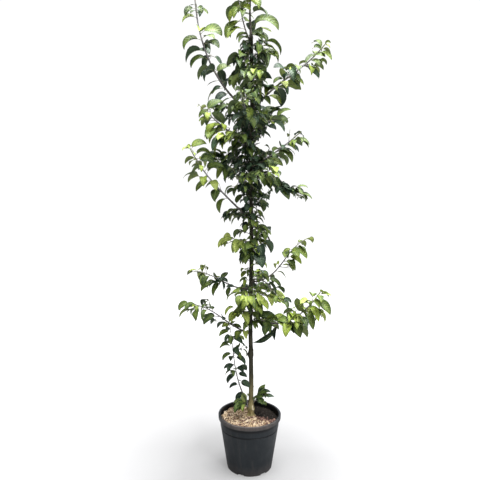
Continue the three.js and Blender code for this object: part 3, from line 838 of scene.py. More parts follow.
def ridges(angle, height, random):
    """Sines that wind round the trunk, whole turns each: high near the ground and low above."""
    total = np.zeros_like(angle + height)
    for number in range(RIDGES):
        turns = random.integers(*RIDGE_TURNS)
        pitch = random.uniform(*RIDGE_PITCHES) * (1 if number % 2 else FINER_PITCH)
        phase = random.uniform(0, 2 * math.pi)
        total += np.sin(turns * angle + pitch * height + phase) / (1 + NARROW_FADE * turns)
    rough = SMOOTH_SHARE + (1 - SMOOTH_SHARE) * np.exp(-((height - TRUNK_FOOT) / ROUGH_FADE))
    return rough * total * RIDGE_LIFT


# %% Scars and the wound
WOUND = {"azimuth": math.radians(305), "height": 271, "half_width": 4.5, "half_height": 13}
WOUND_RIM = 1.5
RIM_WIDTH = 0.22
WOUND_DEPTH = 1.6
WOUND_SLOPE = 2.2
BARK_SEED = 12
SCARS = 46
SCAR_HEIGHTS = (330, TRUNK_TOP - 20)
SCAR_SIZES = (2.2, 5)
SCAR_LIFTS = (0.5, 1.5)
SCAR_WIDTH = 1.5


def wound_share(angle, height, radius):
    """One at the middle of the pruning wound, nought at its edge and negative outside."""
    across = away_from(angle, WOUND["azimuth"]) * radius / WOUND["half_width"]
    up = (height - WOUND["height"]) / WOUND["half_height"]
    return 1 - np.sqrt(across**2 + up**2)


def bark_relief(angle, height, radius):
    """Millimetres added to the radius: lumps, ridges, oval scars, and the wound with its rim."""
    random = np.random.default_rng(BARK_SEED)
    total = lumps(angle, height) + ridges(angle, height, random)
    for _ in range(SCARS):
        middle = random.uniform(*SCAR_HEIGHTS)
        turn = random.uniform(0, 2 * math.pi)
        size = random.uniform(*SCAR_SIZES)
        lift = random.uniform(*SCAR_LIFTS)
        across = hill(away_from(angle, turn) * radius, size * SCAR_WIDTH)
        total = total + lift * across * hill(height - middle, size)
    wound = wound_share(angle, height, radius)
    total = total + WOUND_RIM * hill(wound, RIM_WIDTH)
    return total - WOUND_DEPTH * np.clip(wound * WOUND_SLOPE, 0, 1)


# %% The whole trunk
ROW_CROWDING = 0.45
TOP_ROUNDING = 6
LEAST_RELIEF = 0.2
TOP_EDGE = 0.86
TOP_SWELL = 1.2
BARE_WOOD_EDGE = 4


def trunk_shape():
    """Point = centre + (radius + relief) outwards, on rings that stand closer near the ground."""
    angle = np.linspace(0, 2 * math.pi, TRUNK_COLUMNS, endpoint=False)[None, :]
    climb = np.linspace(0, 1, TRUNK_ROWS)[:, None]
    climb = (1 - ROW_CROWDING) * climb + ROW_CROWDING * climb**2
    height = TRUNK_FOOT + (TRUNK_TOP - TRUNK_FOOT) * climb
    radius = trunk_radius(height)
    fade = np.clip((TRUNK_TOP - height) / TOP_ROUNDING, LEAST_RELIEF, 1)
    skin = radius + bark_relief(angle, height, radius) * fade
    skin[-1] *= TOP_EDGE
    points = (trunk_centre(height) + round_axis(skin, angle, 0.0)).reshape(-1, 3)
    ends = np.stack([trunk_centre(TRUNK_FOOT), trunk_centre(TRUNK_TOP) + UP * TOP_SWELL])
    wound = np.clip(wound_share(angle, height, radius) * BARE_WOOD_EDGE, 0, 1).ravel()
    faces = closed_faces(TRUNK_ROWS, TRUNK_COLUMNS, flip=True)
    values = {"wound": np.concatenate([wound, [0, 0]])}
    return Shape(np.concatenate([points, ends]) * MM, faces, values=values)


# %% The finish of the bark
LOW_BARK = ((0.60, 0.52, 0.26), (0.17, 0.14, 0.055))
HIGH_BARK = ((0.070, 0.066, 0.042), (0.018, 0.019, 0.012))
BARK_CHANGE = (260 * MM, 430 * MM)
LENTICEL = (0.32, 0.26, 0.18, 1)
BARE_WOOD = (0.98, 0.91, 0.70, 1)
GRAIN_UPWARDS = (1, 1, 0.3)
GRAIN_LEVEL = (1, 1, 4.0)
LOW_WEATHER = (60, 520)
HIGH_WEATHER = (46, 520)
LENTICELS = (190, 2)
LENTICEL_RANGE = (0.66, 0.70)
LENTICEL_SHARE = 0.6
LENTICEL_RISE = 0.5
BARK_BUMP = (0.9 * MM, 0.7)


def trunk_bark():
    """Grey-brown bark that is tan and olive near the ground, with pale lenticels and a wound."""
    material, wiring, shader = new_material("trunk bark", roughness=0.78, specular=0.3)
    vector = wiring.object_place()
    upright = wiring.stretched(vector, GRAIN_UPWARDS)
    level = wiring.stretched(vector, GRAIN_LEVEL)
    low = weathered(wiring, *LOW_BARK, upright, *LOW_WEATHER)
    high = weathered(wiring, *HIGH_BARK, upright, *HIGH_WEATHER)
    height = wiring.add("ShaderNodeSeparateXYZ", {"Vector": vector}).outputs["Z"]
    colour = wiring.mix(wiring.ranged(height, *BARK_CHANGE), low["Colour"], high["Colour"])
    dashes = wiring.ranged(wiring.noise(level, *LENTICELS), *LENTICEL_RANGE)
    colour = wiring.mix(wiring.times(dashes, LENTICEL_SHARE), colour, LENTICEL)
    colour = wiring.mix(wiring.attribute("wound"), colour, BARE_WOOD)
    raised = wiring.math("ADD", low["Relief"], wiring.times(dashes, LENTICEL_RISE))
    coat(wiring, shader, colour, raised, *BARK_BUMP)
    return material


trunk = build("trunk_bark", trunk_shape(), trunk_bark())
dress(trunk, ["trunk"])

# %% [markdown]
# ## The growth rule
#
# The crown is grown, not placed. Each shoot leaves the trunk at a height and an azimuth, and its
# slope follows its rise, bend and arch. Leaves stand two fifths of a turn apart, as on a real
# apple, and side twigs carry rosettes. Every random number comes from one formula of the
# shoot, the item and the property, so the same tree grows each time. The solids were grown by
# this rule with few leaves, and here it goes on to more of them and to finer twigs.

# %% The shoots of the tree
COLUMNS = (
    "name height azimuth length rise bend arch radius bare leaf leaves spurs finer inner outer"
).split()
SHOOT_ROWS = [
    ("sucker", 268, 186, 400, 55, 27, 12, 3.2, 0.30, 68, 10, 1, 2, 0.2, 0.9),
    ("low_left", 610, 190, 325, 18, -20, 29, 4.0, 0.30, 76, 8, 3, 3, 0.4, 1.5),
    ("low_right", 722, 345, 388, -61, 118, 28, 4.5, 0.30, 96, 10, 4, 4, 0.8, 2.9),
    ("low_back", 690, 80, 290, 20, -10, 25, 4.0, 0.30, 84, 8, 3, 5, 0.3, 1.2),
    ("mid_left", 815, 168, 275, -12, 9, 33, 3.6, 0.28, 78, 6, 2, 2, 0.7, 2.3),
    ("mid_right", 845, 18, 345, -9, 25, 47, 3.6, 0.22, 76, 9, 3, 1, 1.6, 2.6),
    ("upper_left", 1109, 200, 410, 44, 20, -8, 4.5, 0.30, 98, 8, 3, 2, 0.9, 2.4),
    ("drooping_right", 1317, 12, 263, -21, 3, -7, 3.6, 0.25, 80, 7, 2, 5, 0.2, 1.2),
    ("high_right", 1334, 335, 272, 27, 11, 1, 4.0, 0.25, 84, 8, 2, 2, 0.2, 1.1),
    ("high_back", 1400, 85, 290, 35, 5, 10, 4.2, 0.30, 96, 8, 3, 6, 0.3, 1.3),
    ("high_left", 1449, 205, 269, 9, 31, 9, 4.0, 0.25, 98, 7, 2, 4, 0.7, 2.7),
    ("high_front", 1470, 258, 250, 30, 5, 10, 4.0, 0.25, 96, 7, 3, 9, 0.5, 1.3),
    ("top_left", 1561, 170, 680, 35, 60, 5, 5.0, 0.15, 114, 16, 2, 2, 0.4, 1.5),
    ("top_right", 1563, 350, 404, 58, -7, -20, 5.0, 0.20, 106, 10, 5, 3, 0.9, 1.7),
    ("leader_left", 1844, 184, 270, 62, 15, 9, 3.1, 0.16, 110, 7, 0, 1, 1.2, 2.0),
    ("leader", 1870, 175, 320, 84, 10, 3, 5.2, 0.14, 114, 9, 0, 2, 0.8, 1.7),
    ("foot_left", 258, 218, 52, 48, -20, 0, 2.2, 0, 66, 3, 1, 0, 0.6, 1.0),
    ("foot_right", 272, 20, 66, 52, -15, 0, 2.2, 0, 66, 3, 1, 0, 0.2, 0.8),
    ("hanging_low", 660, 35, 64, 12, -40, 0, 2.4, 0, 70, 3, 1, 2, 1.1, 1.5),
    ("lime_low_left", 706, 214, 66, 24, -50, 0, 2.4, 0, 78, 3, 1, 2, 2.2, 2.9),
    ("low_front", 752, 262, 170, 14, -10, 20, 3.2, 0, 78, 5, 2, 3, 1.5, 2.2),
    ("lime_low_right", 780, 322, 92, 22, -30, 0, 2.6, 0, 84, 4, 2, 1, 2.0, 2.9),
    ("arching_right", 840, 318, 205, 50, -85, -38, 3.0, 0, 74, 5, 1, 1, 0.6, 1.1),
    ("hanging_front", 985, 285, 44, 16, -40, 0, 2.2, 0, 90, 3, 1, 2, 0.3, 0.6),
    ("lime_left", 1010, 190, 108, 28, -62, 8, 2.6, 0, 90, 4, 2, 0, 2.2, 3.0),
    ("middle_right", 1058, 350, 56, 22, -20, 0, 2.2, 0, 74, 3, 1, 2, 0.4, 0.7),
    ("slender_left", 1140, 172, 88, 22, -50, 0, 2.4, 0, 84, 4, 1, 3, 0.3, 0.9),
    ("middle_back", 1172, 62, 130, 22, -12, 6, 3.0, 0, 86, 4, 2, 4, 0.1, 0.6),
    ("upper_back", 1232, 118, 200, 22, -8, 8, 3.4, 0, 88, 5, 3, 1, 0.2, 0.9),
    ("core_front", 1250, 245, 150, 18, -12, 6, 3.2, 0, 90, 5, 3, 9, 0.3, 1.6),
    ("core_right", 1288, 305, 150, 12, -10, 6, 3.2, 0, 88, 4, 3, 4, 0.3, 2.6),
    ("core_left", 1338, 160, 176, 14, -14, 8, 3.2, 0, 96, 5, 3, 12, 0.1, 0.9),
    ("core_back", 1345, 52, 176, 16, -8, 8, 3.2, 0, 94, 5, 3, 6, 0.1, 0.7),
    ("core_high_left", 1418, 224, 160, 18, -12, 8, 3.2, 0, 96, 5, 3, 9, 0.4, 2.4),
    ("upper_right", 1544, 25, 190, -14, 36, 0, 3.0, 0, 80, 6, 1, 2, 0.2, 1.2),
    ("core_high_back", 1525, 145, 168, 32, -10, 8, 3.2, 0, 96, 5, 2, 6, 0.2, 0.9),
    ("crest_front", 1655, 278, 116, 36, -20, 8, 2.8, 0, 96, 4, 1, 4, 0.8, 1.5),
    ("crest_back", 1698, 98, 124, 38, -16, 8, 2.8, 0, 98, 4, 2, 4, 0.5, 1.4),
    ("crest_left", 1768, 196, 60, 34, -18, 0, 2.4, 0, 96, 3, 1, 0, 0.6, 1.2),
    ("crest_right", 1792, 6, 62, 30, -16, 0, 2.4, 0, 108, 3, 1, 2, 1.2, 1.9),
]
SHOOTS = [dict(zip(COLUMNS, row), index=index) for index, row in enumerate(SHOOT_ROWS)]
LEADER_SINK = 4
TIP_RADIUS_SHARE = 0.45
STEPS = 40


# %% Random numbers and the path of a shoot
SHOOT_STEP = 12.9898
ITEM_STEP = 78.233
DRAW_STEP = 37.719
WAVE_HEIGHT = 43758.5453


def chance(shoot, item, draw):
    """A repeatable number from 0 to 1: the fraction of a large multiple of a sine."""
    turn = shoot * SHOOT_STEP + np.asarray(item, float) * ITEM_STEP + draw * DRAW_STEP
    wave = np.sin(turn) * WAVE_HEIGHT
    return wave - np.floor(wave)


def spread(shoot, item, draw):
    """A repeatable number from minus one to one."""
    return 2 * chance(shoot, item, draw) - 1


class Path:
    """A chain of short steps whose slope is rise + bend t + arch sin(pi t), in millimetres."""

    def __init__(self, start, azimuth, length, rise, bend, arch, radius):
        turn = math.radians(azimuth)
        self.heading = np.array([math.cos(turn), math.sin(turn), 0.0])
        self.side = np.cross(UP, self.heading)
        self.bow = (rise, bend, arch)
        self.radius = radius
        self.length = length
        middles = (np.arange(STEPS) + 0.5) / STEPS
        moves = self.tangent(middles) * length / STEPS
        self.points = start + np.concatenate([np.zeros((1, 3)), np.cumsum(moves, axis=0)])

    def tangent(self, t):
        """The direction at a share of the length."""
        rise, bend, arch = self.bow
        slope = np.radians(rise + bend * t + arch * np.sin(np.pi * t))[..., None]
        return self.heading * np.cos(slope) + UP * np.sin(slope)

    def point(self, t):
        """The place at a share of the length, between the two nearest steps."""
        place = np.clip(t, 0, 1) * STEPS
        steps = np.arange(STEPS + 1)
        return np.stack([np.interp(place, steps, axis) for axis in self.points.T], axis=-1)


def leaving(path, share, turn, angle):
    """The direction that leaves a limb at an angle, on the side given by a turn round the limb."""
    tangent = path.tangent(share)
    across = np.cross(path.side, tangent)
    turn, angle = np.broadcast_arrays(turn, angle)
    turn, angle = turn[..., None], angle[..., None]
    return (path.side * np.cos(turn) + across * np.sin(turn)) * np.sin(angle) + tangent * np.cos(angle)


# %% Where each leaf stands
LEAF_TURN = 144
LEAF_ANGLE = 52
LEAF_LIFT = 0.12
LEAF_UPTURN = 0.6
LEAF_SWING = 12
LEAF_DROOP = 78
LEAF_DROOP_RANGE = 52
LEAF_ROLL = 50
LEAF_SIZE_RANGE = 0.14
LEAF_TWIST = 0.6
LEAF_TINT_RANGE = 0.45
SPRAY_TINT_RANGE = 0.75
SWING, DROOP, ROLL, SIZE, TWIG, TWIST, TONE, TURN, SPUR_TURN = range(1, 10)
TINT = 12
FIELDS = "root heading slope droop roll length twist tone tint".split()
grown = {field: [] for field in FIELDS}


def keep(**values):
    """Adds leaves to the crown, field by field."""
    for field, value in values.items():
        grown[field].append(value)


def add_leaves(shoot, items, path, share, turn, size, tint, angle=LEAF_ANGLE):
    """Leaves of one spray: each leaves its twig at an angle, and twists so that its stalk rises."""
    items, share, turn = np.broadcast_arrays(np.asarray(items, float), share, turn)
    index = shoot["index"]
    direction = leaving(path, share, np.radians(turn), math.radians(angle))
    direction[:, 2] = np.abs(direction[:, 2]) * LEAF_UPTURN + LEAF_LIFT
    direction /= np.linalg.norm(direction, axis=1, keepdims=True)
    swing = math.radians(LEAF_SWING) * spread(index, items, SWING)
    keep(
        root=path.point(share),
        heading=np.arctan2(direction[:, 1], direction[:, 0]) + swing,
        slope=np.arcsin(direction[:, 2]),
        droop=np.radians(LEAF_DROOP + LEAF_DROOP_RANGE * chance(index, items, DROOP)),
        roll=math.radians(LEAF_ROLL) * spread(index, items, ROLL),
        length=size * (1 + LEAF_SIZE_RANGE * spread(index, items, SIZE)),
        twist=LEAF_TWIST * spread(index, items, TWIST),
        tone=spread(index, items, TONE),
        tint=tint + LEAF_TINT_RANGE * spread(index, items, TINT),
    )


def tint_and_painted_light_at(shoot, share, item):
    """How light a spray's leaves are, from 0 for the dark core to 3 for lime shoot ends, partly painted
    light and shade.
    """
    along = shoot["inner"] + (shoot["outer"] - shoot["inner"]) * share
    return along + SPRAY_TINT_RANGE * spread(shoot["index"], item, TINT)


# %% [markdown]
# ## Growing the crown
#
# For each shoot the rule makes its stem, then side twigs with a rosette each, then single leaves
# along the stem and small ones at its tip. The finer twigs are new here: they leave the stem
# between the others and fill the mass out to its own edge, but no further. Short spurs stand
# straight on the trunk as well, because old wood of a crabapple is set with them.

# %% Side twigs and their rosettes
GOLDEN_TURN = 137.5
ITEMS_PER_SPUR = 10
FIRST_SPUR_ITEM = 100
TWIG_KINDS = [
    {
        "count": "spurs", "item": FIRST_SPUR_ITEM, "first": 0.16, "stretch": 0.7, "offset": 0.5,
        "length": 44, "range": 0.3, "radius": 1.8, "angle": 58, "least rise": -90,
        "leaf": 1.0, "leaf fall": 0.0, "leaf turn": 90, "fewer": 0, "age": 0.0,
    },
    {
        "count": "finer", "item": 300, "first": 0.05, "stretch": 0.86, "offset": 0.4,
        "length": 36, "range": 0.5, "radius": 1.15, "angle": 50, "least rise": -25,
        "leaf": 0.814, "leaf fall": 0.296, "leaf turn": 70, "fewer": 1, "age": 0.3,
    },
]
ROSETTE_TOP = 0.97
ROSETTE_STEP = 0.2
ROSETTE_FOOT = 0.1
ROSETTE_LEAF = (0.94, 0.08)
FULL_LEAVES = 3
LOW_LEAVES = 0.72
LOW_LEAVES_SHIFT = 0.5
twigs = []


def side_twig(path, share, turn, kind, length):
    """A straight twig that leaves the stem; kept as a path of its own for its leaves."""
    direction = leaving(path, np.array(share), np.radians(turn), math.radians(kind["angle"]))
    rise = math.degrees(math.asin(np.clip(direction[2], -1, 1)))
    azimuth = math.degrees(math.atan2(direction[1], direction[0]))
    start = path.point(np.array(share))
    return Path(start, azimuth, length, max(rise, kind["least rise"]), 0, 0, kind["radius"])


def rosette(shoot, item, twig, leaf, tint, first_turn, count):
    """The leaves of a spur: three step down from near its tip, and smaller ones stand between."""
    k = np.arange(count)
    low = k >= FULL_LEAVES
    share = np.clip(ROSETTE_TOP - ROSETTE_STEP * k + LOW_LEAVES_SHIFT * low, ROSETTE_FOOT, 1)
    size = leaf * (ROSETTE_LEAF[0] - ROSETTE_LEAF[1] * k) * np.where(low, LOW_LEAVES, 1.0)
    add_leaves(shoot, item * ITEMS_PER_SPUR + k, twig, share, LEAF_TURN * k + first_turn, size, tint)


# %% How large and how many the leaves of a shoot are
# How large the last leaves of a shoot are beside its first ones, where they are much smaller.
END_LEAVES = {
    "top_left": 0.42, "top_right": 0.5, "leader": 0.8, "leader_left": 0.7, "high_left": 0.6,
    "high_right": 0.55, "upper_right": 0.55, "upper_left": 0.6, "upper_back": 0.7, "core_left": 0.8,
    "mid_right": 0.7, "mid_left": 0.8, "lime_left": 0.7, "drooping_right": 0.8, "crest_left": 0.7,
    "low_right": 0.7,
}
EVEN_SHARE = 0.3
FEW_LEAVES = 3
MANY_LEAVES = 5
SPARSE = ("upper_left", "top_left", "mid_right", "upper_right", "crest_left", "high_left")
VERY_SPARSE = ("lime_left", "lime_low_right", "lime_low_left")
CORE_SHOOTS = ("core", "middle_back", "high_back", "high_front", "upper_back")
CORE_LEAF = 0.82


def fading(shoot, place):
    """The size of a leaf by its place: even for the first third, then an even fall to the end."""
    last = END_LEAVES.get(shoot["name"], 1.0)
    return 1 - (1 - last) * np.clip((place - EVEN_SHARE) / (1 - EVEN_SHARE), 0, 1)


def rosette_count(name):
    """The leaves of each rosette: few on open shoots, and one on the thinnest."""
    if name in VERY_SPARSE:
        return 1
    return FEW_LEAVES if name in SPARSE else MANY_LEAVES


# %% Leaves along a shoot and at its tip
FIRST_TIP_ITEM = 60
FIRST_SMALL_ITEM = 70
TIP_LEAVES = {"count": 2, "share": 0.985, "size": 0.66, "turn": 60, "angle": 24}
SMALL_LEAVES = {"count": 3, "share": 1.0, "size": 0.3, "turn": 20, "angle": 34}
OUTER_SHARE = 0.85
OUTER_LEAF = 0.8
FIRST_LEAF = 0.6
LAST_GAP = 0.4
LEAVES_A_SPRAY = 2


def grow_side_twigs(shoot, path, leaf):
    """First the spurs and then the finer twigs, evenly along the leafy part, each with a rosette."""
    index, bare = shoot["index"], shoot["bare"]
    for kind_number, kind in enumerate(TWIG_KINDS):
        count = shoot[kind["count"]]
        first_turn = 360 * chance(index, kind_number, SPUR_TURN)
        for number in range(count):
            item = kind["item"] + number
            place = kind["first"] + kind["stretch"] * (number + kind["offset"]) / count
            share = bare + (1 - bare) * place
            length = kind["length"] * (1 + kind["range"] * spread(index, item, TWIG))
            twig = side_twig(path, share, GOLDEN_TURN * number + first_turn, kind, length)
            twigs.append((twig, kind["age"] + place))
            size = leaf * (kind["leaf"] - kind["leaf fall"] * place) * fading(shoot, place)
            tint = tint_and_painted_light_at(shoot, place, item)
            many = rosette_count(shoot["name"]) - kind["fewer"]
            rosette(shoot, item, twig, size, tint, kind["leaf turn"] * number, many)


def grow_stem_leaves(shoot, path, leaf):
    """Single leaves along the stem, smaller near its end, and two rings of small ones at the tip."""
    count, bare = shoot["leaves"], shoot["bare"]
    i = np.arange(count)
    place = (i + FIRST_LEAF) / (count + LAST_GAP)
    share = bare + (1 - bare) * place
    size = leaf * np.where(share > OUTER_SHARE, OUTER_LEAF, 1.0) * fading(shoot, place)
    turn = LEAF_TURN * i + 360 * chance(shoot["index"], 0, TURN)
    add_leaves(shoot, i, path, share, turn, size, tint_and_painted_light_at(shoot, place, i // LEAVES_A_SPRAY))
    tint = tint_and_painted_light_at(shoot, 1.0, FIRST_TIP_ITEM)
    last = leaf * fading(shoot, 1.0)
    for first_item, ring in ((FIRST_TIP_ITEM, TIP_LEAVES), (FIRST_SMALL_ITEM, SMALL_LEAVES)):
        k = np.arange(ring["count"])
        turn = 360 / ring["count"] * k + ring["turn"]
        size = last * ring["size"]
        add_leaves(shoot, first_item + k, path, ring["share"], turn, size, tint, ring["angle"])


# %% Grow every shoot
paths = []
for shoot in SHOOTS:
    start = trunk_centre(min(shoot["height"], TRUNK_TOP - LEADER_SINK))
    bow = (shoot["rise"], shoot["bend"], shoot["arch"])
    path = Path(start, shoot["azimuth"], shoot["length"], *bow, shoot["radius"])
    paths.append(path)
    leaf = shoot["leaf"] * (CORE_LEAF if shoot["name"].startswith(CORE_SHOOTS) else 1)
    grow_side_twigs(shoot, path, leaf)
    grow_stem_leaves(shoot, path, leaf)
print(len(SHOOTS), "shoots and", len(twigs), "side twigs")

# %% Grow short spurs on the trunk
TRUNK_SPUR_ZONES = [
    {"low": 1085, "high": 1850, "count": 104, "leaf": 55, "leaves": 5, "tint": 0.35, "reach": 20},
    {"low": 1290, "high": 1540, "count": 40, "leaf": 52, "leaves": 5, "tint": 0.2, "reach": 52},
    {"low": 630, "high": 930, "count": 20, "leaf": 52, "leaves": 4, "tint": 1.6, "reach": 20},
    {"low": 930, "high": 1085, "count": 15, "leaf": 58, "leaves": 4, "tint": 1.4, "reach": 20},
]
ZONE_TINT_RANGE = 0.7
ZONE_TURN = 40
CLIMB_RANGE = 0.4
REACH_RANGE = 15
TRUNK_SPUR_RISE = 24
TRUNK_SPUR_RISE_RANGE = 20
TRUNK_SPUR_RADIUS = 1.9
TRUNK_SPUR_AGE = 0.2
TRUNK_SPUR_LEAF_TURN = 50
for zone_number, zone in enumerate(TRUNK_SPUR_ZONES):
    owner = {"index": len(SHOOTS) + zone_number}
    for number in range(zone["count"]):
        size, twig, droop, tint = (
            float(spread(owner["index"], number, draw)) for draw in (SIZE, TWIG, DROOP, TINT)
        )
        climb = (number + 0.5 + CLIMB_RANGE * size) / zone["count"]
        height = zone["low"] + (zone["high"] - zone["low"]) * climb
        length = zone["reach"] + float(trunk_radius(height)) + REACH_RANGE * twig
        azimuth = GOLDEN_TURN * number + ZONE_TURN * zone_number
        rise = TRUNK_SPUR_RISE + TRUNK_SPUR_RISE_RANGE * droop
        spur = Path(trunk_centre(height), azimuth, length, rise, 0, 0, TRUNK_SPUR_RADIUS)
        twigs.append((spur, TRUNK_SPUR_AGE))
        tint = zone["tint"] + ZONE_TINT_RANGE * tint
        item, turn = FIRST_SPUR_ITEM + number, TRUNK_SPUR_LEAF_TURN * number
        rosette(owner, item, spur, zone["leaf"], tint, turn, zone["leaves"])

# %% [markdown]
# ## Leaves that give this plant its look
#
# A rule alone makes some crabapple, and leaves set one by one make it this one: the broad arched
# leaf beside the leader, the dark curled one that hangs above the bare trunk, the lime fans of
# the lowest bough on the right. Each row gives its place along the shoot, the way it heads
# (0 is right and 270 is towards the viewer), its slope at the stalk and how far that falls to
# the tip, its roll, its length and its tint. A leaf seen from the side rolls its face to us.

